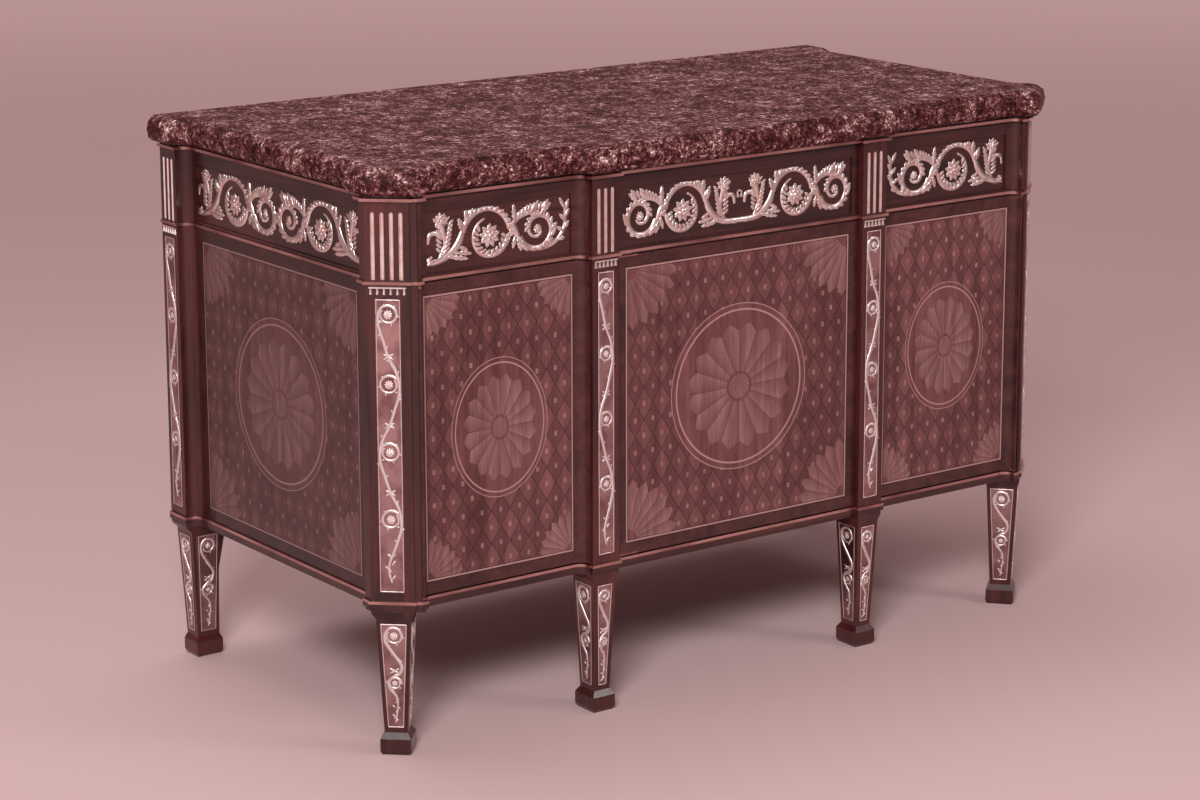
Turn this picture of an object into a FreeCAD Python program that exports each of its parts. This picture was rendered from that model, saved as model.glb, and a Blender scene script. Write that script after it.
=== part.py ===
"""Neoclassical breakfront commode: marble top, three frieze drawers over three doors, six pilasters
and six tapered legs. Millimetres, +Z up, the front faces -Y, origin at the middle of the underside."""

import FreeCAD
import Part
import math
import os

Vector = FreeCAD.Vector

# Overall sizes
width = 1370.0
depth = 680.0
height = 895.0

# Heights of the stacked pieces, from the top down
marble_thickness = 41.0
top_board_thickness = 12.0
frieze_height = 113.0
deck_thickness = 9.0
bottom_board_thickness = 17.0
leg_cap_height = 14.0
leg_height = 212.0

# Plan of the case, all measured back from the faces of the pilasters
marble_overhang = 21.0
marble_back_overhang = 3.0
bay_recess = 24.0
centre_recess = 10.0
ear_recess = 5.0
inner_ear = 2.0
corner_lip = 6.0
pilaster_width = 49.0
inner_pilaster_share = 0.1949
cant_degrees = 42.0
cant_ear = 10.3
cant_strip_width = 66.0
cant_strip_proud = 3.5
cant_strip_edge = 0.5
corner_ear = 1.0
side_ear = 14.5
post_depth = 58.0

# Boards and panels
side_panel_thickness = 16.0
partition_thickness = 19.0
back_thickness = 13.0
back_panel_thickness = 7.0
back_frame_width = 60.0
shelf_thickness = 14.0
shelf_setback = 48.0
shelf_height_share = 0.5
batten_size = 16.0
joint_gap = 0.3

# Gilt and wooden mouldings
bead_height = 4.5
bead_projection = 3.2
cornice_projection = 5.5
cornice_rise = 3.0
base_fascia_height = 7.0
base_fascia_projection = 3.0

# Doors
door_thickness = 20.0
door_gap = 0.8
door_free_gap = 1.0
door_bevel = 3.0
door_end_clearance = 1.5
pivot_depth = 3.4
pin_radius = 1.5
pin_clearance = 0.05
pin_length = 4.0
pivot_plate_length = 42.0
pivot_plate_width = 9.0
pivot_plate_thickness = 2.5
socket_length = 30.0
socket_thickness = 3.0
catch_size = 9.0
catch_reach = 14.0
catch_edge = 18.0

# Drawers
drawer_gap = 0.8
drawer_front_thickness = 20.0
centre_front_thickness = 24.0
drawer_side_thickness = 11.0
drawer_back_thickness = 9.0
drawer_bottom_thickness = 6.0
drawer_groove = 4.0
drawer_bottom_rise = 8.0
drawer_box_depth = 556.0
drawer_top_clearance = 4.0
drawer_side_inset = 2.5
guide_height = 16.0
guide_clearance = 0.5
stop_length = 30.0
stop_height = 5.0
stop_depth = 12.0

# Sunk fields behind the gilt scrolls
field_depth = 3.0
field_border = 1.0
centre_field_border = 14.0
field_top_border = 19.0
field_bottom_border = 2.0

# Lock of the middle drawer
lock_width = 50.0
lock_height = 38.0
lock_thickness = 11.0
bolt_width = 20.0
bolt_thickness = 5.0
bolt_length = 27.0
bolt_clearance = 0.4
bolt_travel = 7.0
keyhole_radius = 2.6
keyhole_slot = 1.8
keyhole_drop = 7.0
keyhole_fall = 52.0
keyhole_steps = 6
strike_thickness = 2.0
strike_margin = 6.0
escutcheon_radius = 5.5
escutcheon_thickness = 0.8

# Pilaster ornament
flute_width = 5.6
flute_depth = 3.0
flute_hollow = 2.2
flute_pitch_corner = 13.8
flute_pitch_square = 12.6
flute_top_gap = 13.0
flute_cap_steps = 4
gutta_count = 6
gutta_height = 9.0
gutta_top_radius = 1.3
gutta_foot_radius = 2.7
gutta_fillet = 2.0
gutta_drop = 1.2
gutta_span_share = 0.75
gutta_sides = 3
plate_thickness = 1.6
plate_sink = 1.0
corner_plate_width = 37.0
square_plate_width = 30.0
plate_top_gap = 19.0
plate_bottom_gap = 14.0

# Legs and feet
foot_block_height = 34.0
foot_chamfer_height = 9.0
foot_bevel_height = 6.0
foot_bevel = 3.0
leg_setback = 4.0
leg_top_width = 43.0
leg_top_depth = 54.0
leg_foot_width = 29.0
leg_foot_depth = 37.0
corner_leg_top = 52.0
corner_leg_foot = 35.0
rear_leg_setback = 10.0
rear_leg_top_width = 48.0
rear_leg_top_depth = 49.0
rear_leg_foot_width = 34.0
rear_leg_foot_depth = 40.0
foot_overhang = 6.0
rear_foot_overhang = 4.0
corner_plate_margin = 5.5
leg_plate_margin = 7.0
leg_plate_side_margin = 6.0
leg_plate_top_gap = 5.0
leg_plate_foot_gap = 8.0
bracket_height = 68.0
bracket_width = 17.0
bracket_thickness = 34.0
bracket_toe_share = 0.15

# Marble edge
marble_nose_share = 0.55
marble_top_inset = 13.0
marble_foot_inset = 9.0
marble_quirk = 2.0
marble_quirk_slope = 0.4
marble_inner_break = 10.0
marble_corner_break = 10.5
marble_side_break = 10.0
marble_cove = 24.0
nose_steps = 2
cap_steps = 4

# Gilt scrolls in the sunk fields of the friezes
scroll_height = 79.0
scroll_foot_gap = 12.0
scroll_end_gap = 1.5
scroll_inner_gap = 6.5
scroll_meeting_gap = 3.7
scroll_relief = 4.0
rosette_relief = 6.5
rosette_petals = 5
scroll_step_degrees = 40

# Places on a scroll, along it and up from its foot, and half widths there. Those along it are shares of a
# length that follows the field, and the others are shares of its height.
rosette_place_share = (1.48, 0.43)
rosette_radius_share = 0.215
rosette_notch_share = 0.3
flower_place_share = (0.40, 0.85)
flower_radius_share = 0.15
scroll_start_share = 0.07
scroll_end_share = 2.93
tail_end_share = 3.29
middle_stem_shares = [(0.0, 0.08, 0.045), (0.38, 0.09, 0.05), (0.62, 0.18, 0.05), (0.80, 0.34, 0.05)]
foot_stem_shares = [(0.22, 0.17, 0.02), (0.14, 0.12, 0.03), (0.18, 0.05, 0.04), (0.38, 0.09, 0.05),
                    (0.62, 0.18, 0.05), (0.80, 0.34, 0.05)]
crown_arc_share = {"centre": (1.40, 0.42), "radii": (0.53, 0.53), "turn": (165, 10),
                   "half": (0.055, 0.045)}
inner_arc_share = {"centre": (1.49, 0.42), "radii": (0.40, 0.37), "turn": (-5, -250),
                   "half": (0.05, 0.012)}
volute_arc_share = {"centre": (2.56, 0.43), "radii": (0.43, 0.10), "turn": (195, 690),
                    "half": (0.055, 0.03)}
rosette_stalk_shares = [(1.46, 0.39), (2.08, 0.38), (2.08, 0.46), (1.46, 0.46)]
hood_shares = [(1.98, 0.57, 0.035), (2.16, 0.71, 0.035), (2.38, 0.76, 0.03), (2.60, 0.70, 0.02)]
knot_shares = [(1.91, 0.61, 0.05), (2.03, 0.50, 0.07), (2.14, 0.28, 0.05)]
cup_shares = [(0.38, 0.11, 0.035), (0.50, 0.37, 0.035), (0.46, 0.60, 0.05), (0.41, 0.75, 0.07)]
curl_shares = [(0.46, 0.50, 0.03), (0.33, 0.60, 0.04), (0.17, 0.59, 0.04), (0.13, 0.42, 0.035)]
tail_shares = [(2.52, 0.02, 0.02), (2.77, 0.06, 0.04), (2.98, 0.14, 0.045), (3.16, 0.31, 0.045),
               (3.24, 0.52, 0.04), (3.22, 0.78, 0.035)]
leaf_shares = [((0.98, 0.72), (0.96, 0.99), 0.05), ((0.55, 0.14), (1.00, 0.03), 0.06),
               ((2.03, 0.60), (2.02, 0.97), 0.05), ((2.16, 0.69), (2.33, 0.99), 0.05),
               ((2.38, 0.74), (2.58, 0.97), 0.05), ((2.58, 0.68), (2.86, 0.90), 0.05),
               ((2.14, 0.26), (2.32, 0.03), 0.06)]
tail_leaf_shares = [((3.22, 0.76), (3.08, 0.96), 0.06)]

overrun = 5.0

# Places worked out from the sizes above
face_y = -depth / 2 + marble_overhang
side_face_x = width / 2 - marble_overhang
case_depth = depth - marble_overhang - marble_back_overhang
side_bay_x = side_face_x - bay_recess
side_ear_x = side_face_x - ear_recess
cove_radius = bay_recess - ear_recess
inner_pilaster_x = width * inner_pilaster_share
inner_edge = inner_pilaster_x - pilaster_width / 2
outer_edge = inner_pilaster_x + pilaster_width / 2
cant_cos = math.cos(math.radians(cant_degrees))
cant_sin = math.sin(math.radians(cant_degrees))
cant_length = cant_ear + cant_strip_width + cant_strip_edge
cant_front_x = side_ear_x - cant_length * cant_cos
cant_side_depth = ear_recess + cant_length * cant_sin
post_side_x = cant_front_x - corner_ear
inner_lip_end = outer_edge + inner_ear
corner_lip_start = post_side_x - corner_lip
bay_start_x = inner_lip_end + cove_radius
bay_end_x = corner_lip_start - cove_radius
side_bay_start = cant_side_depth + side_ear + cove_radius
rear_strip_start = case_depth - pilaster_width
side_bay_end = rear_strip_start - cove_radius
z_case = leg_height + leg_cap_height
z_floor = z_case + bottom_board_thickness
z_marble = height - marble_thickness
z_top = z_marble - top_board_thickness
z_frieze = z_top - frieze_height
z_deck = z_frieze - deck_thickness
cupboard_height = z_deck - z_floor
back_face = case_depth - back_thickness
door_low = z_floor + door_end_clearance
door_high = z_deck - door_end_clearance
bolt_back = centre_recess + centre_front_thickness + (lock_thickness - bolt_thickness) / 2
side_pivot_x = post_side_x - door_gap - pivot_depth
centre_pivot_x = inner_edge - door_gap - pivot_depth
door_pivots = [{"x": side_pivot_x, "back": ear_recess + pivot_depth, "into": -1},
               {"x": -side_pivot_x, "back": ear_recess + pivot_depth, "into": 1},
               {"x": -centre_pivot_x, "back": centre_recess + pivot_depth, "into": 1}]
parallel_share = 1e-9


def point(x, back, z=0.0):
    """Point at x, a distance behind the pilaster faces, and z."""
    return Vector(x, face_y + back, z)


def line(*ends):
    """Straight stretch of a plan outline between two (x, back) points."""
    return {"ends": ends, "centre": None, "held": False}


def arc(start, end, centre):
    """Round stretch of a plan outline, tangent to its neighbours."""
    return {"ends": (start, end), "centre": centre, "held": False}


def chain(*stops):
    """Straight stretches through the stops in turn."""
    return [line(a, b) for a, b in zip(stops, stops[1:])]


def mirrored(stretches):
    """The same stretches on the other side of the middle plane, run backwards."""
    flip = lambda p: (-p[0], p[1])
    result = []
    for s in reversed(stretches):
        centre = flip(s["centre"]) if s["centre"] else None
        ends = (flip(s["ends"][1]), flip(s["ends"][0]))
        result.append({"ends": ends, "centre": centre, "held": s["held"]})
    return result


def closed(half):
    """Whole outline from its right half, which runs from the front middle to the back middle."""
    half[-1]["held"] = True
    other = mirrored(half)
    first = line(other[-1]["ends"][0], half[0]["ends"][1])
    back = line(half[-1]["ends"][0], other[0]["ends"][1])
    back["held"] = True
    return [first] + half[1:-1] + [back] + other[1:-1]


def heading(stretch):
    (x0, y0), (x1, y1) = stretch["ends"]
    run = math.hypot(x1 - x0, y1 - y0)
    return (x1 - x0) / run, (y1 - y0) / run


def shifted(p, stretch, out):
    """The point p moved outward, square to a straight stretch."""
    dx, dy = heading(stretch)
    move = 0.0 if stretch["held"] else out
    return p[0] + dy * move, p[1] - dx * move


def meeting(stretch, round_one, near, out):
    """Where a straight stretch meets a cove once both have moved outward."""
    cx, cy = round_one["centre"]
    ax, ay = round_one["ends"][0]
    radius = math.hypot(ax - cx, ay - cy) - out
    px, py = shifted(near, stretch, out)
    dx, dy = heading(stretch)
    along = (cx - px) * dx + (cy - py) * dy
    fx, fy = px + along * dx, py + along * dy
    spare = radius ** 2 - (fx - cx) ** 2 - (fy - cy) ** 2
    reach = math.sqrt(max(spare, 0.0))
    sides = [(fx + reach * dx, fy + reach * dy), (fx - reach * dx, fy - reach * dy)]
    return min(sides, key=lambda p: math.hypot(p[0] - near[0], p[1] - near[1]))


def corner(before, after, out):
    """Where two neighbouring stretches meet once both have moved outward."""
    p = after["ends"][0]
    if after["centre"]:
        return meeting(before, after, p, out)
    if before["centre"]:
        return meeting(after, before, p, out)
    ax, ay = heading(before)
    bx, by = heading(after)
    cross = ax * by - ay * bx
    start, goal = shifted(p, before, out), shifted(p, after, out)
    if abs(cross) < parallel_share:
        return goal
    along = ((goal[0] - start[0]) * by - (goal[1] - start[1]) * bx) / cross
    return start[0] + ax * along, start[1] + ay * along


def outline(stretches, out, z):
    """Closed wire of an outline moved outward (or inward, if out is negative) at height z."""
    count = len(stretches)
    stops = [corner(stretches[i - 1], stretches[i], out) for i in range(count)]
    edges = []
    for i, stretch in enumerate(stretches):
        a, b = stops[i], stops[(i + 1) % count]
        if stretch["centre"] is None:
            edges.append(Part.LineSegment(point(*a, z), point(*b, z)).toShape())
            continue
        cx, cy = stretch["centre"]
        radius = math.hypot(a[0] - cx, a[1] - cy)
        mx, my = (a[0] + b[0]) / 2 - cx, (a[1] + b[1]) / 2 - cy
        reach = radius / math.hypot(mx, my)
        middle = point(cx + mx * reach, cy + my * reach, z)
        edges.append(Part.Arc(point(*a, z), middle, point(*b, z)).toShape())
    return Part.Wire(edges)


def stacked(rings):
    """Solid whose flat sides join level rings of corners, from the lowest ring up."""
    loops = [rings[0], rings[-1]]
    for low, high in zip(rings, rings[1:]):
        for i in range(len(low)):
            j = (i + 1) % len(low)
            loops.append([low[i], low[j], high[j], high[i]])
    shell = Part.Shell([Part.Face(Part.makePolygon(loop + loop[:1])) for loop in loops])
    shell.sewShape()
    solid = Part.Solid(shell)
    if solid.Volume < 0:
        solid.reverse()
    return solid


def slab(corners, push):
    """Flat plate: a polygon pushed out by a vector."""
    solid = Part.Face(Part.makePolygon(corners + corners[:1])).extrude(push)
    if solid.Volume < 0:
        solid.reverse()
    return solid


def raised(wire, height_up):
    """Solid swept straight up from a level wire."""
    solid = Part.Face(wire).extrude(Vector(0, 0, height_up))
    if solid.Volume < 0:
        solid.reverse()
    return solid


def prism(stretches, z_low, z_high, out=0.0):
    """Upright solid of an outline."""
    return raised(outline(stretches, out, z_low), z_high - z_low)


def profiled(stretches, profile):
    """Solid whose edge follows a profile of (out, z) points all round the outline."""
    return Part.makeLoft([outline(stretches, out, z) for out, z in profile], True, True)


def block(x0, x1, back0, back1, z0, z1):
    """Box between two x values, two distances behind the pilaster faces and two heights."""
    return Part.makeBox(x1 - x0, back1 - back0, z1 - z0, point(x0, back0, z0))


def column(stops, z0, z1):
    """Upright solid of a plain polygon of (x, back) points."""
    return raised(Part.makePolygon([point(x, b, z0) for x, b in stops + stops[:1]]), z1 - z0)


def flipped(shape):
    """Mirror image on the other side of the middle plane."""
    return shape.mirror(Vector(0, 0, 0), Vector(1, 0, 0))


def both(shape):
    """A solid and its mirror image."""
    return [shape, flipped(shape)]


def cut_all(shape, tools):
    for tool in tools:
        shape = shape.cut(tool)
    return shape


def save(name, *shapes):
    """Writes one node as a STEP file, as one solid or as a group of separate ones."""
    solids = [solid for shape in shapes for solid in shape.Solids]
    shape = solids[0] if len(solids) == 1 else Part.makeCompound(solids)
    shape.exportStep("parts/" + name + ".step")


def bay_front():
    """Front of a side bay from the inner pilaster to the corner post: lip, cove, flat, cove and lip."""
    return [line((outer_edge, ear_recess), (inner_lip_end, ear_recess)),
            arc((inner_lip_end, ear_recess), (bay_start_x, bay_recess), (bay_start_x, ear_recess)),
            line((bay_start_x, bay_recess), (bay_end_x, bay_recess)),
            arc((bay_end_x, bay_recess), (corner_lip_start, ear_recess), (bay_end_x, ear_recess)),
            line((corner_lip_start, ear_recess), (post_side_x, ear_recess))]


def on_cant(along, out):
    """Point of the canted corner, a distance along it from its front end and out from its face."""
    return (cant_front_x + along * cant_cos + out * cant_sin, ear_recess + along * cant_sin - out * cant_cos)


def corner_strip():
    """Canted corner with its raised strip, from the front ear to the side ear."""
    end = cant_length - cant_strip_edge
    start = end - cant_strip_width
    return [on_cant(0, 0), on_cant(start, 0), on_cant(start, cant_strip_proud),
            on_cant(end, cant_strip_proud), on_cant(end, 0), on_cant(cant_length, 0)]


def side_cove_front():
    """Cove between the side ear of the corner post and the flat of the side."""
    return arc((side_ear_x, cant_side_depth + side_ear), (side_bay_x, side_bay_start),
               (side_ear_x, side_bay_start))


def side_cove_rear():
    """Cove between the flat of the side and the rear pilaster."""
    return arc((side_bay_x, side_bay_end), (side_ear_x, rear_strip_start), (side_ear_x, side_bay_end))


def case_outline():
    """Right half of the plan of the case, with every pilaster strip standing out."""
    half = chain((0, centre_recess), (inner_edge, centre_recess), (inner_edge, 0), (outer_edge, 0),
                 (outer_edge, ear_recess))
    half += bay_front()[:-1]
    half += chain((corner_lip_start, ear_recess), *corner_strip(),
                  (side_ear_x, cant_side_depth + side_ear))
    half.append(side_cove_front())
    half.append(line((side_bay_x, side_bay_start), (side_bay_x, side_bay_end)))
    half.append(side_cove_rear())
    half += chain((side_ear_x, rear_strip_start), (side_face_x, rear_strip_start), (side_face_x, case_depth),
                  (0, case_depth))
    return closed(half)


def marble_outline():
    """Right half of the plan of the marble, which leaves out the small steps of the strips."""
    over = marble_overhang
    front, bay, ear = -over, bay_recess - over, ear_recess - over
    inner_break = outer_edge + marble_inner_break
    corner_break = post_side_x - marble_corner_break
    small = bay - ear
    near, far = on_cant(0, cant_strip_proud + over), on_cant(cant_length, cant_strip_proud + over)
    side, side_bay, side_edge = side_face_x + over, side_bay_x + over, side_ear_x + over
    side_break = cant_side_depth + side_ear + marble_side_break
    rear_break = rear_strip_start - marble_side_break
    back = case_depth + marble_back_overhang
    rear_cove = side - side_bay
    half = [line((0, front), (inner_break, front)),
            arc((inner_break, front), (inner_break + marble_cove, bay), (inner_break + marble_cove, front)),
            line((inner_break + marble_cove, bay), (corner_break - small, bay)),
            arc((corner_break - small, bay), (corner_break, ear), (corner_break - small, ear))]
    half += chain((corner_break, ear), (near[0] + (ear - near[1]) / cant_sin * cant_cos, ear),
                  (side_edge, far[1] + (side_edge - far[0]) / cant_cos * cant_sin), (side_edge, side_break))
    half += [arc((side_edge, side_break), (side_bay, side_break + small), (side_edge, side_break + small)),
             line((side_bay, side_break + small), (side_bay, rear_break - rear_cove)),
             arc((side_bay, rear_break - rear_cove), (side, rear_break), (side, rear_break - rear_cove))]
    half += chain((side, rear_break), (side, back), (0, back))
    return closed(half)


case_plan = case_outline()
marble_plan = marble_outline()


def marble_profile():
    """Edge of the slab from its underside up: hollow under-cut, round nose, quirk and flat top."""
    nose_z = z_marble + marble_thickness * (1 - marble_nose_share)
    low_rise, high_rise = nose_z - z_marble, height - marble_quirk - nose_z
    profile = []
    for step in range(nose_steps):
        turn = math.pi / 2 * step / nose_steps
        profile.append((-marble_foot_inset * (1 - math.sin(turn)), nose_z - low_rise * math.cos(turn)))
    for step in range(nose_steps + 1):
        turn = math.pi / 2 * step / nose_steps
        inset = marble_top_inset - marble_quirk
        profile.append((-inset * (1 - math.cos(turn)), nose_z + high_rise * math.sin(turn)))
    profile.append((-marble_top_inset, height - marble_quirk + marble_quirk_slope))
    profile.append((-marble_top_inset, height))
    return profile


def band(out, z, rise):
    """Square-edged strip planted round a board of the case."""
    return prism(case_plan, z, z + rise, out).cut(prism(case_plan, z, z + rise))


def post_plans():
    """Plans of the posts on the right side, by the name of their place."""
    inner = chain((inner_edge, 0), (outer_edge, 0), (outer_edge, post_depth), (inner_edge, post_depth),
                  (inner_edge, 0))
    stops = corner_strip()
    panel_x = side_bay_x - side_panel_thickness
    front = chain((post_side_x, ear_recess), *stops, (side_ear_x, cant_side_depth + side_ear))
    front.append(side_cove_front())
    front += chain((side_bay_x, side_bay_start), (panel_x, side_bay_start), (post_side_x, post_depth),
                   (post_side_x, ear_recess))
    rear = [side_cove_rear()]
    rear_inner = side_face_x - pilaster_width
    rear += chain((side_ear_x, rear_strip_start), (side_face_x, rear_strip_start), (side_face_x, case_depth),
                  (rear_inner, case_depth), (rear_inner, side_bay_end), (side_bay_x, side_bay_end))
    return {"front": front, "inner": inner, "rear": rear}


def strip_frame(place):
    """Middle of a pilaster strip's face, and the turn that its ornament takes from facing -Y."""
    if place == "inner":
        return point(inner_pilaster_x, 0), 0.0
    if place == "rear":
        return point(side_face_x, case_depth - pilaster_width / 2), 90.0
    middle = cant_length - cant_strip_edge - cant_strip_width / 2
    return point(*on_cant(middle, cant_strip_proud)), cant_degrees


def placed(shape, place):
    """Sets a piece, drawn with its face at y = 0 looking to -Y, on a pilaster of the right side."""
    middle, turn = strip_frame(place)
    shape = shape.copy()
    shape.rotate(Vector(0, 0, 0), Vector(0, 0, 1), turn)
    shape.translate(middle)
    return shape


def local_box(x0, x1, y0, y1, z0, z1):
    """Box in a pilaster's own frame, y running inward from its face."""
    return Part.makeBox(x1 - x0, y1 - y0, z1 - z0, Vector(x0, y0, z0))


def flute_blank(x, inset, sink):
    """One flute with a rounded top in a pilaster's own frame."""
    half = flute_width / 2
    z0, z1 = z_frieze, z_top - flute_top_gap - half
    corners = [Vector(x - half, inset, z0), Vector(x + half, inset, z0)]
    for step in range(flute_cap_steps + 1):
        turn = math.pi * step / flute_cap_steps
        corners.append(Vector(x + half * math.cos(turn), inset, z1 + half * math.sin(turn)))
    return slab(corners, Vector(0, sink, 0))


def flute(x):
    """Gilt lining of one flute: a bar with a hollow run down its face."""
    half = flute_width / 2 - joint_gap
    stops = [(-half, -overrun), (half, -overrun), (half, 0), (half / 2, flute_hollow),
             (-half / 2, flute_hollow), (-half, 0)]
    rings = [[Vector(x + across, y, z) for across, y in stops] for z in (z_frieze - overrun, z_top)]
    return flute_blank(x, 0.0, flute_depth).cut(stacked(rings))


def flute_places(place):
    """Places of the flutes across one strip."""
    count, pitch = (4, flute_pitch_corner) if place == "front" else (3, flute_pitch_square)
    return [(i - (count - 1) / 2) * pitch for i in range(count)]


def strip_width(place):
    return cant_strip_width if place == "front" else pilaster_width


def plate_size(place):
    """Width, low end and high end of the metal plate on a pilaster."""
    across = corner_plate_width if place == "front" else square_plate_width
    return across, z_floor + plate_bottom_gap, z_deck - plate_top_gap


def plate(place, sink=plate_sink, thickness=plate_thickness):
    across, low, high = plate_size(place)
    return local_box(-across / 2, across / 2, sink - thickness, sink, low, high)


def guttae(place):
    """Row of drops under a fillet, standing on the face of one strip."""
    span = strip_width(place) * gutta_span_share
    pitch = span / (gutta_count - 1)
    top = z_deck - gutta_drop
    wide = span / 2 + gutta_foot_radius
    row = [local_box(-wide, wide, -gutta_foot_radius, 0, top - gutta_fillet, top)]
    low = top - gutta_fillet - gutta_height
    for i in range(gutta_count):
        x = (i - (gutta_count - 1) / 2) * pitch
        rings = []
        for z, radius in ((low, gutta_foot_radius), (top - gutta_fillet, gutta_top_radius)):
            turns = [math.pi * step / gutta_sides for step in range(gutta_sides + 1)]
            rings.append([Vector(x - radius * math.cos(t), -radius * math.sin(t), z) for t in turns])
        row.append(stacked(rings))
    return row[0].multiFuse(row[1:]).removeSplitter()


places = ["front", "inner", "rear"]


def build_posts():
    plans = post_plans()
    for place in places:
        post = prism(plans[place], z_floor, z_top)
        for x in flute_places(place):
            post = post.cut(placed(flute_blank(x, 0.0, flute_depth), place))
        across, low, high = plate_size(place)
        post = post.cut(placed(plate(place, plate_sink, plate_sink + overrun), place))
        save("post_" + place + "_right", post)
        save("post_" + place + "_left", flipped(post))
    flutes, drops, plates = [], [], []
    for place in places:
        for x in flute_places(place):
            flutes += both(placed(flute(x), place))
        drops += both(placed(guttae(place), place))
        plates += both(placed(plate(place), place))
    save("gilt_flutes", *flutes)
    save("guttae", *drops)
    save("pilaster_plates", *plates)


def build_boards():
    """Boards that run right across the case, and the slab on top."""
    posts = [prism(plan, z_deck - overrun, z_frieze + overrun) for plan in post_plans().values()]
    posts += [flipped(post) for post in posts]
    deck = cut_all(prism(case_plan, z_deck, z_frieze), posts)
    deck = deck.cut(block(-width, width, back_face, case_depth + overrun, z_deck - overrun,
                          z_frieze + overrun))
    bottom = prism(case_plan, z_case, z_floor)
    for pivot in door_pivots:
        deck = deck.cut(socket_blank(pivot, z_deck - overrun, z_deck + socket_thickness))
        bottom = bottom.cut(socket_blank(pivot, z_floor - socket_thickness, z_floor + overrun))
        room, x, back = pin_radius + joint_gap, pivot["x"], pivot["back"]
        bottom = bottom.cut(block(x - room, x + room, back - room, back + room,
                                  door_low - pin_length - joint_gap, z_floor))
    save("deck_board", deck)
    save("bottom_board", bottom)
    top = prism(case_plan, z_top, z_marble)
    top = top.cut(strike_slot(z_top - overrun, z_top + bolt_travel + joint_gap))
    top = top.cut(strike_box(z_top - overrun, z_top + strike_thickness))
    save("top_board", top)
    save("marble_top", profiled(marble_plan, marble_profile()))


def build_mouldings():
    """Gilt bands round the three boards, and the wooden fascia below the lowest."""
    deck_z = z_deck + (deck_thickness - bead_height) / 2
    base_z = z_floor - bead_height
    save("gilt_beads", band(cornice_projection, z_top + cornice_rise, bead_height),
         band(bead_projection, deck_z, bead_height), band(bead_projection, base_z, bead_height))
    save("base_moulding", band(base_fascia_projection, base_z - base_fascia_height, base_fascia_height))


def build_panels():
    """Sides, side friezes, back, partitions and shelves."""
    inner_x = side_bay_x - side_panel_thickness
    side = block(inner_x, side_bay_x, side_bay_start, side_bay_end, z_floor, z_deck)
    frieze = block(inner_x, side_bay_x, side_bay_start, side_bay_end, z_frieze, z_top)
    sunk = block(side_bay_x - field_depth, side_bay_x + overrun, side_bay_start + field_border,
                 side_bay_end - field_border, z_frieze + field_bottom_border, z_top - field_top_border)
    frieze = frieze.cut(sunk)
    save("side_panel_right", side)
    save("side_panel_left", flipped(side))
    save("side_frieze_right", frieze)
    save("side_frieze_left", flipped(frieze))

    rear_inner = side_face_x - pilaster_width
    frame = block(-rear_inner, rear_inner, back_face, case_depth, z_floor, z_top)
    half_field = (2 * rear_inner - 4 * back_frame_width) / 6
    fields = []
    skin = (back_thickness - back_panel_thickness) / 2
    low, high = z_floor + back_frame_width, z_top - back_frame_width
    for i in (-1, 0, 1):
        middle = i * (2 * half_field + back_frame_width)
        left, right = middle - half_field, middle + half_field
        frame = frame.cut(block(left, right, back_face - overrun, case_depth + overrun, low, high))
        fields.append(block(left, right, back_face + skin, case_depth - skin, low, high))
    save("back_frame", frame)
    save("back_panels", *fields)

    x0 = inner_pilaster_x - partition_thickness / 2
    x1 = inner_pilaster_x + partition_thickness / 2
    partition = block(x0, x1, post_depth, back_face, z_floor, z_deck)
    save("partition_right", partition)
    save("partition_left", flipped(partition))
    save("drawer_dividers", *both(block(x0, x1, post_depth, back_face, z_frieze, z_top)))

    shelf_z = z_floor + cupboard_height * shelf_height_share
    front = side_bay_start + joint_gap
    side_shelf = block(x1 + joint_gap, inner_x - joint_gap, front, back_face - joint_gap,
                       shelf_z, shelf_z + shelf_thickness)
    rear_post = prism(post_plans()["rear"], z_floor, z_top, joint_gap)
    centre_shelf = block(-x0 + joint_gap, x0 - joint_gap, post_depth + shelf_setback, back_face - joint_gap,
                         shelf_z, shelf_z + shelf_thickness)
    save("shelves", *both(side_shelf.cut(rear_post)), centre_shelf)
    battens = []
    for x in (x0 - batten_size, x1, inner_x - batten_size):
        battens += both(block(x, x + batten_size, front, side_bay_end, shelf_z - batten_size, shelf_z))
    save("shelf_battens", *battens)


def socket_blank(pivot, z0, z1):
    """Blank of the brass plate let into a board over or under a door's pivot, flush with its edge."""
    end = pivot["x"] + pivot["into"] * (socket_length - pivot_depth)
    x0, x1 = sorted((pivot["x"] - pivot["into"] * pivot_depth, end))
    back0 = pivot["back"] - pivot_depth - overrun
    plate_end = pivot["back"] - pivot_depth + pivot_plate_width
    return block(x0, x1, back0, plate_end, z0, z1).common(prism(case_plan, z0, z1))


def build_sockets():
    """Brass plates let into the deck and the bottom board, bored for the pins of the doors."""
    sockets = []
    for pivot in door_pivots:
        bore = Part.makeCylinder(pin_radius + pin_clearance, height, point(pivot["x"], pivot["back"], 0))
        sockets.append(socket_blank(pivot, z_deck, z_deck + socket_thickness).cut(bore))
        sockets.append(socket_blank(pivot, z_floor - socket_thickness, z_floor).cut(bore))
    save("pivot_sockets", *sockets)


def pivot_round(x, back, z0, z1):
    """What is planed off a hinge edge's front corner, so that it turns clear about its pivot."""
    square = block(x, x + pivot_depth + overrun, back - pivot_depth - overrun, back, z0, z1)
    keep = Part.makeCylinder(pivot_depth, z1 - z0, point(x, back, z0))
    return square.cut(keep)


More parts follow.
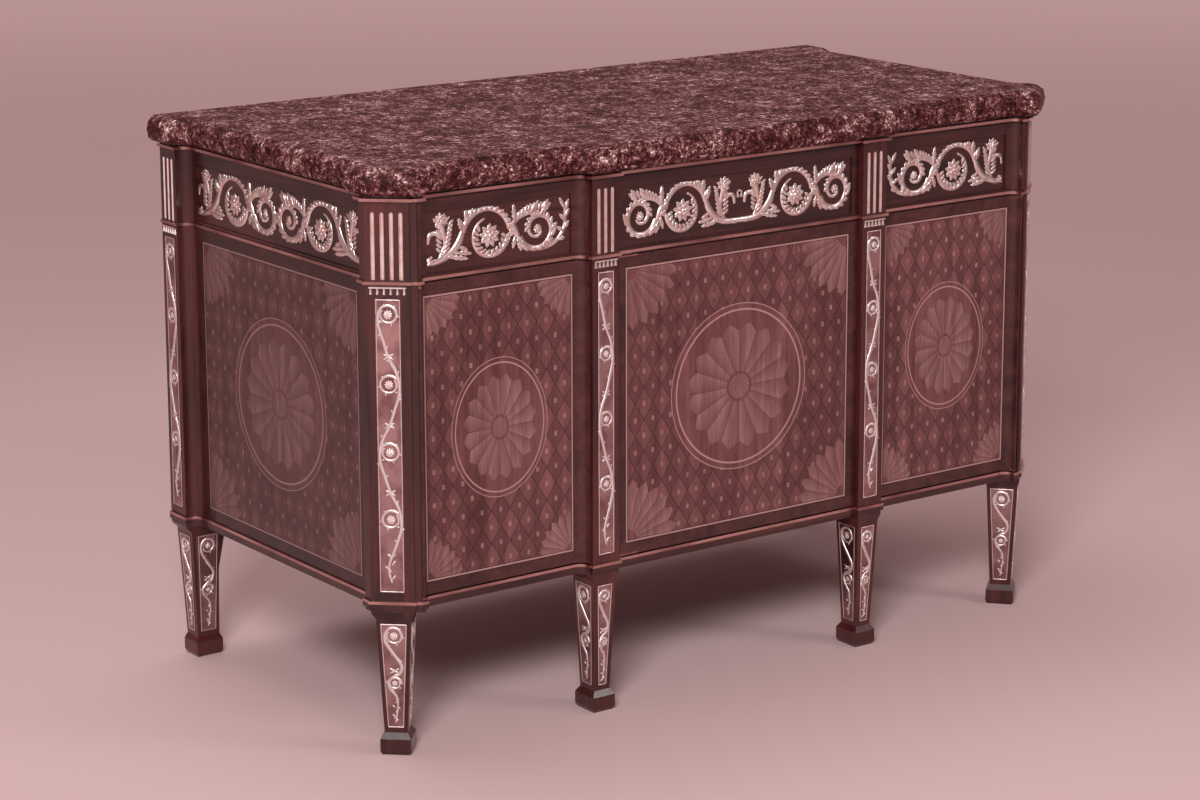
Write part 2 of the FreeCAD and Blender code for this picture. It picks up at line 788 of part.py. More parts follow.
def fitted_door(panel, pivot):
    """A door with its two pivot plates let into its ends, and those plates with their pins."""
    end = pivot["x"] + pivot["into"] * (pivot_plate_length - pivot_depth)
    x0, x1 = sorted((pivot["x"] - pivot["into"] * pivot_depth, end))
    plates = []
    for z0, pin_z, pin_end in ((door_low, door_low - pin_length, door_low),
                               (door_high - pivot_plate_thickness, door_high, door_high + pin_length)):
        face = pivot["back"] - pivot_depth
        blank = block(x0, x1, face - overrun, face + pivot_plate_width, z0, z0 + pivot_plate_thickness)
        set_in = panel.common(blank)
        panel = panel.cut(blank)
        pin = Part.makeCylinder(pin_radius, pin_end - pin_z, point(pivot["x"], pivot["back"], pin_z))
        plates.append(set_in.fuse(pin).removeSplitter())
    return panel, plates


def catch_tongue(x, back):
    """Small brass tongue on the back of a door, near its free top corner."""
    z = door_high - catch_edge
    return block(x - catch_size / 2, x + catch_size / 2, back, back + catch_reach, z - catch_size, z)


def catch_spring(x, back):
    """Leaf under the deck that bears on the tongue."""
    z = door_high - catch_edge + joint_gap
    end = back + 2 * catch_reach
    leaf = block(x - catch_size / 2, x + catch_size / 2, back + joint_gap, end, z, z + pivot_plate_thickness)
    stem = block(x - catch_size / 2, x + catch_size / 2, end - catch_size / 2, end, z, z_deck)
    return leaf.fuse(stem).removeSplitter()


def build_doors():
    side_pivot, left_pivot, centre_pivot = door_pivots
    back = bay_recess + door_thickness
    plan = bay_front() + chain((post_side_x, ear_recess), (post_side_x, back), (outer_edge, back),
                               (outer_edge, ear_recess))
    side = prism(plan, door_low, door_high)
    side = side.cut(block(post_side_x - door_gap, post_side_x + overrun, 0, back + overrun, z_floor,
                          z_deck))
    side = side.cut(free_edge_trim(outer_edge, 1, ear_recess, back))
    side = side.cut(pivot_round(side_pivot["x"], side_pivot["back"], z_floor, z_deck))
    panel, plates = fitted_door(side, side_pivot)
    tongue_x = outer_edge + 2 * catch_edge
    hardware = plates + [catch_tongue(tongue_x, back)]
    save("door_panel_right", panel)
    save("door_panel_left", flipped(panel))
    save("door_hardware_right", *hardware)
    save("door_hardware_left", *[flipped(piece) for piece in hardware])

    rear = centre_recess + door_thickness
    centre = block(-inner_edge + door_gap, inner_edge, centre_recess, rear, door_low, door_high)
    centre = centre.cut(free_edge_trim(inner_edge, -1, centre_recess, rear))
    centre = centre.cut(flipped(pivot_round(-centre_pivot["x"], centre_pivot["back"], z_floor, z_deck)))
    panel, plates = fitted_door(centre, centre_pivot)
    centre_tongue_x = inner_edge - 2 * catch_edge
    save("door_panel_centre", panel)
    save("door_hardware_centre", *plates, catch_tongue(centre_tongue_x, rear))
    save("catch_springs", *both(catch_spring(tongue_x, back)), catch_spring(centre_tongue_x, rear))


def free_edge_trim(x, side, front, back):
    """What is planed off a door's free edge: a gap at the front that widens into a bevel."""
    gap, bevel = door_free_gap, door_free_gap + door_bevel
    stops = [(x - side * overrun, front - overrun), (x + side * gap, front - overrun),
             (x + side * gap, front), (x + side * bevel, back), (x + side * bevel, back + overrun),
             (x - side * overrun, back + overrun)]
    return column(stops, z_floor, z_deck)


def strike_slot(z0, z1):
    """Room for the lock bolt in the underside of the top board."""
    wide = bolt_width / 2 + bolt_clearance
    return block(-wide, wide, bolt_back - bolt_clearance, bolt_back + bolt_thickness + bolt_clearance,
                 z0, z1)


def strike_box(z0, z1):
    wide = bolt_width / 2 + strike_margin
    return block(-wide, wide, bolt_back - strike_margin, bolt_back + bolt_thickness + strike_margin, z0, z1)


def build_lock():
    rear = centre_recess + centre_front_thickness
    top = z_top - drawer_gap - drawer_top_clearance
    case = block(-lock_width / 2, lock_width / 2, rear, rear + lock_thickness, top - lock_height, top)
    wide = bolt_width / 2
    bolt_top = z_top - drawer_gap
    bolt = block(-wide, wide, bolt_back, bolt_back + bolt_thickness, bolt_top - bolt_length, bolt_top)
    slot = block(-wide - bolt_clearance, wide + bolt_clearance, bolt_back - bolt_clearance,
                 bolt_back + bolt_thickness + bolt_clearance, bolt_top - bolt_length - bolt_clearance, z_top)
    save("lock_case", case.cut(slot).cut(keyhole(rear - overrun, bolt_back)))
    save("lock_bolt", bolt)
    strike = strike_box(z_top, z_top + strike_thickness).cut(strike_slot(z_top - overrun, z_top + overrun))
    save("lock_strike", strike)
    face = centre_recess + field_depth
    rim = keyhole_outline(escutcheon_radius, escutcheon_radius, face)
    escutcheon = slab(rim, Vector(0, -escutcheon_thickness, 0))
    save("escutcheon", escutcheon.cut(keyhole(-overrun, rear)))


def keyhole_outline(radius, half_slot, back):
    """Round head with a straight stem below it, as corners."""
    key_z = z_top - keyhole_fall
    reach = math.sqrt(radius ** 2 - half_slot ** 2)
    start = math.atan2(-reach, half_slot)
    corners = [point(-half_slot, back, key_z - keyhole_drop), point(half_slot, back, key_z - keyhole_drop)]
    for step in range(keyhole_steps + 1):
        turn = start + (math.pi - 2 * start) * step / keyhole_steps
        corners.append(point(radius * math.cos(turn), back, key_z + radius * math.sin(turn)))
    return corners


def keyhole(back0, back1):
    """Keyhole run through a front."""
    return slab(keyhole_outline(keyhole_radius, keyhole_slot / 2, back0), Vector(0, back1 - back0, 0))


def drawer_box(x0, x1, front_back, rear):
    """Sides, back and bottom of a drawer: the sides are grooved for the bottom."""
    z0, z1 = z_frieze + joint_gap, z_top - drawer_top_clearance
    bottom_z = z0 + drawer_bottom_rise
    t, groove = drawer_side_thickness, drawer_groove
    bottom = block(x0 + t - groove, x1 - t + groove, front_back, rear, bottom_z,
                   bottom_z + drawer_bottom_thickness)
    left = block(x0, x0 + t, front_back, rear, z0, z1).cut(bottom)
    right = block(x1 - t, x1, front_back, rear, z0, z1).cut(bottom)
    back = block(x0 + t, x1 - t, rear - drawer_back_thickness, rear, bottom_z + drawer_bottom_thickness, z1)
    return [left, right, back, bottom]


def build_drawers():
    z0, z1 = z_frieze + drawer_gap, z_top - drawer_gap
    back = bay_recess + drawer_front_thickness
    rear = back + drawer_box_depth
    x0, x1 = outer_edge + drawer_gap, post_side_x - drawer_gap
    plan = bay_front() + chain((post_side_x, ear_recess), (post_side_x, back), (outer_edge, back),
                               (outer_edge, ear_recess))
    front = prism(plan, z0, z1)
    front = front.cut(block(outer_edge - overrun, x0, 0, back + overrun, z_frieze, z_top))
    front = front.cut(block(x1, post_side_x + overrun, 0, back + overrun, z_frieze, z_top))
    sunk = block(bay_start_x + field_border, bay_end_x - field_border, bay_recess - overrun,
                 bay_recess + field_depth, z_frieze + field_bottom_border, z_top - field_top_border)
    front = front.cut(sunk)
    walls = drawer_box(x0 + drawer_side_inset, x1 - drawer_side_inset, back, rear)
    save("drawer_front_right", front)
    save("drawer_front_left", flipped(front))
    save("drawer_box_right", *walls)
    save("drawer_box_left", *[flipped(wall) for wall in walls])

    half = inner_edge - drawer_gap
    centre_back = centre_recess + centre_front_thickness
    front = block(-half, half, centre_recess, centre_back, z0, z1)
    field_half = half - centre_field_border
    sunk = block(-field_half, field_half, centre_recess - overrun, centre_recess + field_depth,
                 z_frieze + field_bottom_border, z_top - field_top_border)
    save("drawer_front_centre", front.cut(sunk).cut(keyhole(-overrun, centre_back + overrun)))
    half_box = half - drawer_side_inset
    save("drawer_box_centre", *drawer_box(-half_box, half_box, centre_back, rear))
    build_guides(x0, x1, half, back, centre_back)


def arc_stops(shares):
    """Stops along a turn whose radius and width change evenly: along, up and half width, as shares."""
    (cu, cv), (r0, r1) = shares["centre"], shares["radii"]
    (a0, a1), (w0, w1) = shares["turn"], shares["half"]
    count = max(2, round(abs(a1 - a0) / scroll_step_degrees))
    stops = []
    for i in range(count + 1):
        k = i / count
        turn, radius = math.radians(a0 + (a1 - a0) * k), r0 + (r1 - r0) * k
        stops.append((cu + radius * math.cos(turn), cv + radius * math.sin(turn), w0 + (w1 - w0) * k))
    return stops


def ribbon(stops):
    """Outline of a stem that follows its stops, each with its own half width."""
    left, right = [], []
    for i, (u, v, half) in enumerate(stops):
        u0, v0 = stops[max(i - 1, 0)][:2]
        u1, v1 = stops[min(i + 1, len(stops) - 1)][:2]
        run = math.hypot(u1 - u0, v1 - v0)
        du, dv = (u1 - u0) / run, (v1 - v0) / run
        left.append((u - dv * half, v + du * half))
        right.append((u + dv * half, v - du * half))
    return left + right[::-1]


def leaf(foot_end, tip, half):
    """Outline of a pointed leaf, widest past its foot."""
    (u0, v0), (u1, v1) = foot_end, tip
    run = math.hypot(u1 - u0, v1 - v0)
    du, dv = (u1 - u0) / run, (v1 - v0) / run
    mu, mv = u0 + (u1 - u0) / 3, v0 + (v1 - v0) / 3
    return [(u0, v0), (mu + dv * half, mv - du * half), (u1, v1), (mu - dv * half, mv + du * half)]


def blossom(place, radius):
    """Outline of a flower, notched between its petals."""
    stops = []
    for i in range(2 * rosette_petals):
        turn = math.pi * i / rosette_petals
        reach = radius * (1 - rosette_notch_share) if i % 2 else radius
        stops.append((place[0] + reach * math.cos(turn), place[1] + reach * math.sin(turn)))
    return stops


def scroll(start_shares, along, tail):
    """Half a gilt scroll in its own plane, its back on y = 0: x runs along it and z up from its foot."""
    stems = [start_shares + arc_stops(crown_arc_share), arc_stops(inner_arc_share),
             arc_stops(volute_arc_share), knot_shares, hood_shares, cup_shares, curl_shares]
    leaves = list(leaf_shares)
    if tail:
        stems.append(tail_shares)
        leaves += tail_leaf_shares
    shapes = [ribbon(stem) for stem in stems] + [leaf(*shares) for shares in leaves]
    shapes += [rosette_stalk_shares, blossom(flower_place_share, flower_radius_share)]
    pieces = [relief(shape, along, scroll_relief) for shape in shapes]
    rosette = blossom(rosette_place_share, rosette_radius_share)
    pieces.append(relief(rosette, along, rosette_relief))
    return pieces[0].multiFuse(pieces[1:]).removeSplitter()


def relief(shape, along, thickness):
    """Flat shape given in shares of the scroll's length and height, cut out of plate."""
    corners = [Vector(u * along, 0, v * scroll_height) for u, v in shape]
    return slab(corners, Vector(0, -thickness, 0))


def build_mounts():
    """Gilt scrolls, seated in the sunk fields of the drawers and of the sides."""
    foot_z = z_frieze + scroll_foot_gap
    middle_half = inner_edge - drawer_gap - centre_field_border
    along = (middle_half - scroll_inner_gap) / scroll_end_share
    right = scroll(middle_stem_shares, along, False)
    right.translate(point(0, centre_recess + field_depth, foot_z))
    save("drawer_mount_centre", right.fuse(flipped(right)).removeSplitter())

    field_start, field_end = bay_start_x + field_border, bay_end_x - field_border
    along = (field_end - field_start - 2 * scroll_end_gap) / (tail_end_share - scroll_start_share)
    left = scroll(foot_stem_shares, along, True)
    left_x = -field_end + scroll_end_gap - scroll_start_share * along
    left.translate(point(left_x, bay_recess + field_depth, foot_z))
    save("drawer_mount_left", left)
    save("drawer_mount_right", flipped(left))

    middle = (side_bay_start + side_bay_end) / 2
    field_start = side_bay_start + field_border
    reach = middle - field_start - scroll_end_gap - scroll_meeting_gap
    along = reach / (scroll_end_share - scroll_start_share)
    front = scroll(foot_stem_shares, along, False)
    front.rotate(Vector(0, 0, 0), Vector(0, 0, 1), 90)
    start = field_start + scroll_end_gap - scroll_start_share * along
    front.translate(point(side_bay_x - field_depth, start, foot_z))
    rear = front.mirror(point(0, middle), Vector(0, 1, 0))
    save("side_frieze_mounts", *both(front), *both(rear))


def build_guides(x0, x1, half, back, centre_back):
    """Strips on the deck that keep the drawers straight, and the blocks that stop them."""
    divider0 = inner_pilaster_x - partition_thickness / 2
    divider1 = inner_pilaster_x + partition_thickness / 2
    side0, side1 = x0 + drawer_side_inset, x1 - drawer_side_inset
    low, high = z_frieze, z_frieze + guide_height
    start = post_depth
    guides = both(block(divider1, side0 - guide_clearance, start, back_face, low, high))
    post = prism(post_plans()["front"], z_frieze - overrun, z_top)
    outer = block(side1 + guide_clearance, side1 + guide_clearance + batten_size, start, back_face, low, high)
    guides += both(outer.cut(post))
    guides += both(block(half - drawer_side_inset + guide_clearance, divider0, start, back_face, low, high))
    save("drawer_guides", *guides)
    middle = (side0 + side1) / 2
    stops = []
    for x in (middle - 2 * stop_length, middle + stop_length):
        stops += both(drawer_stop(x, back + joint_gap))
    save("drawer_stops", *stops, *both(drawer_stop(2 * stop_length, centre_back + joint_gap)))


def drawer_stop(x, back):
    """Small block on the deck, just behind a drawer front."""
    return block(x, x + stop_length, back, back + stop_depth, z_frieze, z_frieze + stop_height)


def rectangle(half_x, y0, y1, z):
    """Corners of a level rectangle in a leg's own frame."""
    return [Vector(-half_x, y0, z), Vector(half_x, y0, z), Vector(half_x, y1, z), Vector(-half_x, y1, z)]


def leg_sizes(place):
    """Top and foot sizes of a leg: width along the strip, and depth behind it."""
    if place == "front":
        return corner_leg_top, corner_leg_top, corner_leg_foot, corner_leg_foot
    if place == "rear":
        return rear_leg_top_width, rear_leg_top_depth, rear_leg_foot_width, rear_leg_foot_depth
    return leg_top_width, leg_top_depth, leg_foot_width, leg_foot_depth


def leg_sections(place, z):
    """Half width, front and back of a leg at height z, in its pilaster's own frame. Only a rear leg's inner
    face is upright."""
    top_w, top_d, foot_w, foot_d = leg_sizes(place)
    share = (z - foot_block_height) / (leg_height - foot_block_height)
    wide = foot_w + (top_w - foot_w) * share
    deep = foot_d + (top_d - foot_d) * share
    back = rear_leg_setback + top_d if place == "rear" else leg_setback + (top_d + deep) / 2
    return wide / 2, back - deep, back


def leg(place):
    """Tapered leg under a moulded cap that spreads to the width of the pilaster."""
    rings = []
    for z in (foot_block_height, leg_height):
        wide, front, back = leg_sections(place, z)
        rings.append(rectangle(wide, front, back, z))
    cap_half = strip_width(place) / 2
    for step in range(1, cap_steps + 1):
        rise = step / cap_steps
        spread = (1 - math.cos(math.pi * rise)) / 2
        spare = front if place == "inner" else leg_setback
        rings.append(rectangle(wide + (cap_half - wide) * spread, front * (1 - spread),
                               back + spare * spread, leg_height + leg_cap_height * rise))
    return stacked(rings)


def foot(place):
    """Block under a leg, bevelled at the floor and chamfered up to the leg."""
    wide, front, back = leg_sections(place, foot_block_height)
    out = rear_foot_overhang if place == "rear" else foot_overhang
    arris = foot_block_height - foot_chamfer_height
    inset = out - foot_bevel
    return stacked([rectangle(wide + inset, front - inset, back + inset, 0),
                    rectangle(wide + out, front - out, back + out, foot_bevel_height),
                    rectangle(wide + out, front - out, back + out, arris),
                    rectangle(wide, front, back, foot_block_height)])


def leg_plate(place, side, lift):
    """Tapered metal plate on one face of a leg."""
    z0, z1 = foot_block_height + leg_plate_foot_gap, leg_height - leg_plate_top_gap
    front_margin = corner_plate_margin if place == "front" else leg_plate_margin
    m = corner_plate_margin if place == "front" else leg_plate_side_margin
    ends = []
    for z in (z0, z1):
        wide, front, back = leg_sections(place, z)
        if side == "front":
            ends.append([Vector(-wide + front_margin, front, z), Vector(wide - front_margin, front, z)])
        elif side == "low_x":
            ends.append([Vector(-wide, back - m, z), Vector(-wide, front + m, z)])
        else:
            ends.append([Vector(wide, front + m, z), Vector(wide, back - m, z)])
    a, b = ends[0]
    d, c = ends[1]
    return slab([a, b, c, d], (b - a).cross(d - a).normalize() * lift)


def build_legs():
    plates, feet = [], []
    for place in places:
        piece = leg(place)
        save("leg_" + place + "_right", placed(piece, place))
        save("leg_" + place + "_left", flipped(placed(piece, place)))
        feet += both(placed(foot(place), place))
        sides = ("front", "low_x") if place == "rear" else ("front", "low_x", "high_x")
        for side in sides:
            plates += both(placed(leg_plate(place, side, plate_thickness - plate_sink), place))
    save("foot_blocks", *feet)
    save("leg_plates", *plates)
    bracket = rear_bracket()
    save("rear_leg_brackets", *both(placed(bracket, "rear")))


def rear_bracket():
    """Wedge glued to the inner face of a rear leg, under the bottom board."""
    back = leg_sections("rear", leg_height)[2]
    low_back = leg_sections("rear", leg_height - bracket_height)[2]
    half = bracket_thickness / 2
    top, low = leg_height, leg_height - bracket_height
    stops = [Vector(-half, back, top), Vector(-half, back + bracket_width, top),
             Vector(-half, low_back + bracket_width * bracket_toe_share, low), Vector(-half, low_back, low)]
    return slab(stops, Vector(bracket_thickness, 0, 0))


def main():
    os.makedirs("parts", exist_ok=True)
    build_boards()
    build_mouldings()
    build_posts()
    build_panels()
    build_sockets()
    build_doors()
    build_drawers()
    build_mounts()
    build_lock()
    build_legs()


main()
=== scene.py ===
"""Looks of a neoclassical breakfront commode: polished veneer, a mottled marble slab, gilt scrolls, vines and trims.

Every size is in metres, in the frame of the cabinet itself: +Z is up and the front looks towards -Y.
"""

import logging
import math
from collections.abc import Iterator
from dataclasses import dataclass, field
from enum import Enum
from typing import Any

import bmesh
import bpy
from mathutils import Matrix, Vector

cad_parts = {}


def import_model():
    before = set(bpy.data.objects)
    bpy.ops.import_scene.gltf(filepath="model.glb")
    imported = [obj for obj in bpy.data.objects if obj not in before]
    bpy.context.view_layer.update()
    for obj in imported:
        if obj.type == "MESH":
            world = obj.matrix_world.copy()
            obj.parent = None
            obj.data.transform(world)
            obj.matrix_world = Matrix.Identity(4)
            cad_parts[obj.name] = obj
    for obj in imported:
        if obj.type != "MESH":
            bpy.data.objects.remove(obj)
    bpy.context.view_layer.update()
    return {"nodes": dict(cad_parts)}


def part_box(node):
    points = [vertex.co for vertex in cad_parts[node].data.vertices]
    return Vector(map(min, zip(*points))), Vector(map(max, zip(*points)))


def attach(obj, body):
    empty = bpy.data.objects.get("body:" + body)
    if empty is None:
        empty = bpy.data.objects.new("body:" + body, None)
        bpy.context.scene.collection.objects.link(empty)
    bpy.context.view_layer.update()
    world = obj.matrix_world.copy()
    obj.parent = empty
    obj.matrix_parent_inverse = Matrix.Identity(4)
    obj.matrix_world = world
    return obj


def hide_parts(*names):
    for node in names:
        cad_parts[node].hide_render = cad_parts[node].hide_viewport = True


LOG = logging.getLogger("commode")
UP = Vector((0, 0, 1))
SAME_POINT = 1e-6
Colour = tuple[float, float, float, float]
Feed = Any  # a Value, an output socket or a plain value


class Grain(Enum):
    """Direction in which the grain of a veneer runs, as the stretch of its pattern."""

    UPRIGHT = (1.0, 1.0, 0.06)
    ALONG_X = (0.06, 1.0, 1.0)
    ALONG_Y = (1.0, 0.06, 1.0)
    BURR = (0.5, 0.5, 0.5)


class Bend(Enum):
    """Side to which a leaf of foliage bends."""

    LEFT = 1.0
    RIGHT = -1.0


def linear(red: float, green: float, blue: float) -> Colour:
    """Turns a colour written from 0 to 255, as it looks on a screen, into linear light.

    Args:
        red: red part of the colour.
        green: green part of the colour.
        blue: blue part of the colour.

    Returns:
        The colour as linear red, green and blue, and an alpha of 1.
    """
    parts = [((c / 255 + 0.055) / 1.055) ** 2.4 if c > 10 else c / 255 / 12.92 for c in (red, green, blue)]
    return parts[0], parts[1], parts[2], 1.0


def scaled(colour: Colour, share: float) -> Colour:
    """A colour with its light multiplied by a share."""
    return tuple(c * share for c in colour[:3]) + (1.0,)


def show(name: str, data: bpy.types.ID) -> bpy.types.Object:
    """Makes an object and puts it into the scene.

    Args:
        name: name of the object.
        data: its mesh, light or camera.

    Returns:
        The object.
    """
    thing = bpy.data.objects.new(name, data)
    bpy.context.scene.collection.objects.link(thing)
    return thing


def settle(name: str, shape: bmesh.types.BMesh) -> bpy.types.Mesh:
    """Turns an edited shape into a mesh.

    Args:
        name: name of the mesh.
        shape: the shape, which is freed.

    Returns:
        The mesh.
    """
    mesh = bpy.data.meshes.new(name)
    shape.to_mesh(mesh)
    shape.free()
    return mesh


def solid(name: str, verts: list, edges: list, faces: list) -> bpy.types.Mesh:
    """Makes a mesh from its points, edges and faces.

    Args:
        name: name of the mesh.
        verts: the points.
        edges: pairs of points, where no face gives them.
        faces: the points of each face.

    Returns:
        The mesh.
    """
    mesh = bpy.data.meshes.new(name)
    mesh.from_pydata(verts, edges, faces)
    return mesh


class Value:
    """An output socket on which plain arithmetic writes Math nodes. Masks are 0 or 1."""

    def __init__(self, sketch: "Sketch", socket: bpy.types.NodeSocket) -> None:
        """Takes the sketch that the nodes go into, and the socket."""
        self.sketch, self.socket = sketch, socket

    def do(self, operation: str, *others: Feed) -> "Value":
        """Result of one Math node on this value and others."""
        return self.sketch.math(operation, self, *others)

    def near(self, other: Feed, reach: float) -> "Value":
        """Mask of where this is within a reach of the other."""
        return self.do("COMPARE", other, reach)

    def fold(self) -> "Value":
        """A wave of 0 at whole numbers and 0.5 half way."""
        return self.do("PINGPONG", 0.5)

    def hypot(self, other: "Value") -> "Value":
        """Length of the diagonal over this and the other."""
        return (self.do("POWER", 2.0) + other.do("POWER", 2.0)).do("SQRT")

    def __add__(self, other: Feed) -> "Value":
        """Sum."""
        return self.do("ADD", other)

    def __sub__(self, other: Feed) -> "Value":
        """Difference."""
        return self.do("SUBTRACT", other)

    def __rsub__(self, other: Feed) -> "Value":
        """Difference from a plain number."""
        return self.sketch.math("SUBTRACT", other, self)

    def __mul__(self, other: Feed) -> "Value":
        """Product."""
        return self.do("MULTIPLY", other)

    def __truediv__(self, other: Feed) -> "Value":
        """Quotient."""
        return self.do("DIVIDE", other)

    def __abs__(self) -> "Value":
        """Size without its sign."""
        return self.do("ABSOLUTE")

    def __lt__(self, other: Feed) -> "Value":
        """Mask of where this is below the other."""
        return self.do("LESS_THAN", other)

    def __gt__(self, other: Feed) -> "Value":
        """Mask of where this is above the other."""
        return self.do("GREATER_THAN", other)

    def __and__(self, other: Feed) -> "Value":
        """Mask of both."""
        return self.do("MULTIPLY", other)

    def __or__(self, other: Feed) -> "Value":
        """Mask of either, or the larger of two values."""
        return self.do("MAXIMUM", other)

    def __invert__(self) -> "Value":
        """Mask of the rest."""
        return 1.0 - self


class Sketch:
    """Writes nodes into one node tree."""

    def __init__(self, tree: bpy.types.NodeTree) -> None:
        """Takes the tree that the nodes go into."""
        self.tree = tree

    def feed(self, socket: bpy.types.NodeSocket, value: Feed) -> None:
        """Links an output to an input, or sets the input to a plain value.

        Args:
            socket: the input.
            value: a Value, an output socket or a plain value.
        """
        if isinstance(value, Value):
            value = value.socket
        if isinstance(value, bpy.types.NodeSocket):
            self.tree.links.new(value, socket)
        else:
            socket.default_value = value

    def fill(self, node: bpy.types.Node, *values: Feed, **named: Feed) -> bpy.types.Node:
        """Feeds the inputs of a node.

        Args:
            node: the node.
            values: what goes into its first inputs, in order.
            named: what goes into each named input, with _ for a space.

        Returns:
            The same node.
        """
        for socket, value in zip(node.inputs, values):
            self.feed(socket, value)
        for name, value in named.items():
            self.feed(node.inputs[name.replace("_", " ")], value)
        return node

    def put(self, kind: str, *values: Feed, settings: dict | None = None, **named: Feed) -> bpy.types.Node:
        """Adds a node.

        Args:
            kind: type of the node.
            values: what goes into its first inputs, in order.
            settings: values for the node's own properties.
            named: what goes into each named input, with _ for a space.

        Returns:
            The new node.
        """
        node = self.tree.nodes.new(kind)
        for name, value in (settings or {}).items():
            setattr(node, name, value)
        return self.fill(node, *values, **named)

    def pick(self, node: bpy.types.Node, output: str | int = 0) -> Value:
        """One output of a node, ready for arithmetic."""
        return Value(self, node.outputs[output])

    def out(self, kind: str, *values: Feed, **named: Any) -> Value:
        """Adds a node as put does, and gives its first output."""
        return self.pick(self.put(kind, *values, **named))

    def math(self, operation: str, *values: Feed) -> Value:
        """Result of one Math node on numbers or sockets."""
        return self.out("ShaderNodeMath", *values, settings={"operation": operation})

    def vector(self, operation: str, *values: Feed, **named: Feed) -> bpy.types.Node:
        """One Vector Math node."""
        return self.put("ShaderNodeVectorMath", *values, settings={"operation": operation}, **named)

    def noise(self, place: Feed, scale: Feed, detail: float, **more: Feed) -> bpy.types.Node:
        """One noise texture."""
        return self.put("ShaderNodeTexNoise", Vector=place, Scale=scale, Detail=detail, **more)

    def bump(self, height: Feed, strength: float, distance: float) -> Value:
        """Normal of a surface roughened by a height."""
        return self.out("ShaderNodeBump", Height=height, Strength=strength, Distance=distance)

    def span(self, value: Feed, low: float, high: float, to_low: float = 0.0, to_high: float = 1.0) -> Value:
        """A value mapped from one range to another, held at the ends."""
        return self.out("ShaderNodeMapRange", value, low, high, to_low, to_high, settings={"clamp": True})

    def mix(self, factor: Feed, low: Feed, high: Feed, blend: str = "MIX") -> Value:
        """Mixes two colours.

        Args:
            factor: share of the second colour, from 0 to 1.
            low: first colour.
            high: second colour.
            blend: how the second colour is laid on the first.

        Returns:
            The mixed colour.
        """
        node = self.put("ShaderNodeMix", factor, settings={"data_type": "RGBA", "blend_type": blend})
        self.feed(node.inputs[6], low)
        self.feed(node.inputs[7], high)
        return self.pick(node, 2)

    def ramp(self, value: Feed, stops: list[tuple[float, tuple]]) -> Value:
        """Colour ramp of a value.

        Args:
            value: the value.
            stops: places from 0 to 1, each with its colour as linear takes it.

        Returns:
            The colour.
        """
        node = self.put("ShaderNodeValToRGB", value)
        marks = node.color_ramp.elements
        while len(marks) < len(stops):
            marks.new(0.5)
        for mark, (place, colour) in zip(marks, stops):
            mark.position, mark.color = place, linear(*colour)
        return self.pick(node)


def new_tree(kind: str, name: str, inputs: dict[str, tuple], outputs: dict[str, str]) -> tuple:
    """Starts a node tree that has sockets of its own.

    Args:
        kind: type of the tree.
        name: name of the tree.
        inputs: socket type and value of each input.
        outputs: socket type of each output.

    Returns:
        A sketch on the tree, its inputs by name, and its output node.
    """
    tree = bpy.data.node_groups.new(name, kind)
    for label, (socket_type, value) in inputs.items():
        socket = tree.interface.new_socket(name=label, in_out="INPUT", socket_type="NodeSocket" + socket_type)
        if value is not None:
            socket.default_value = value
    for label, socket_type in outputs.items():
        tree.interface.new_socket(name=label, in_out="OUTPUT", socket_type="NodeSocket" + socket_type)
    sketch = Sketch(tree)
    start, end = tree.nodes.new("NodeGroupInput"), tree.nodes.new("NodeGroupOutput")
    return sketch, {label: sketch.pick(start, label) for label in inputs}, end


@dataclass(frozen=True)
class Pattern:
    """Sizes of the inlay, in metres for its lines and otherwise as shares of the motif."""

    string_half: float = 0.0013
    outer_ink: tuple = (0.0022, 0.0009)
    inner_ink: tuple = (0.0019, 0.0006)
    lozenge_slope: float = 1.5
    lattice_half: float = 0.022
    dot: float = 0.15
    oval_across: tuple = (0.35, 0.65)
    oval_up: tuple = (0.45, 0.55)
    petals: float = 16.0
    petal_reach: float = 0.72
    petal_swell: float = 0.22
    petal_gap: float = 0.03
    petal_foot: float = 0.2
    button: float = 0.16
    rim_half: float = 0.012
    outer_rim: float = 1.08
    outer_rim_half: float = 0.006
    corner_size: float = 0.42
    corner_rays: float = 12.0
    corner_reach: float = 0.84
    corner_swell: float = 0.3
    corner_gap: float = 0.035


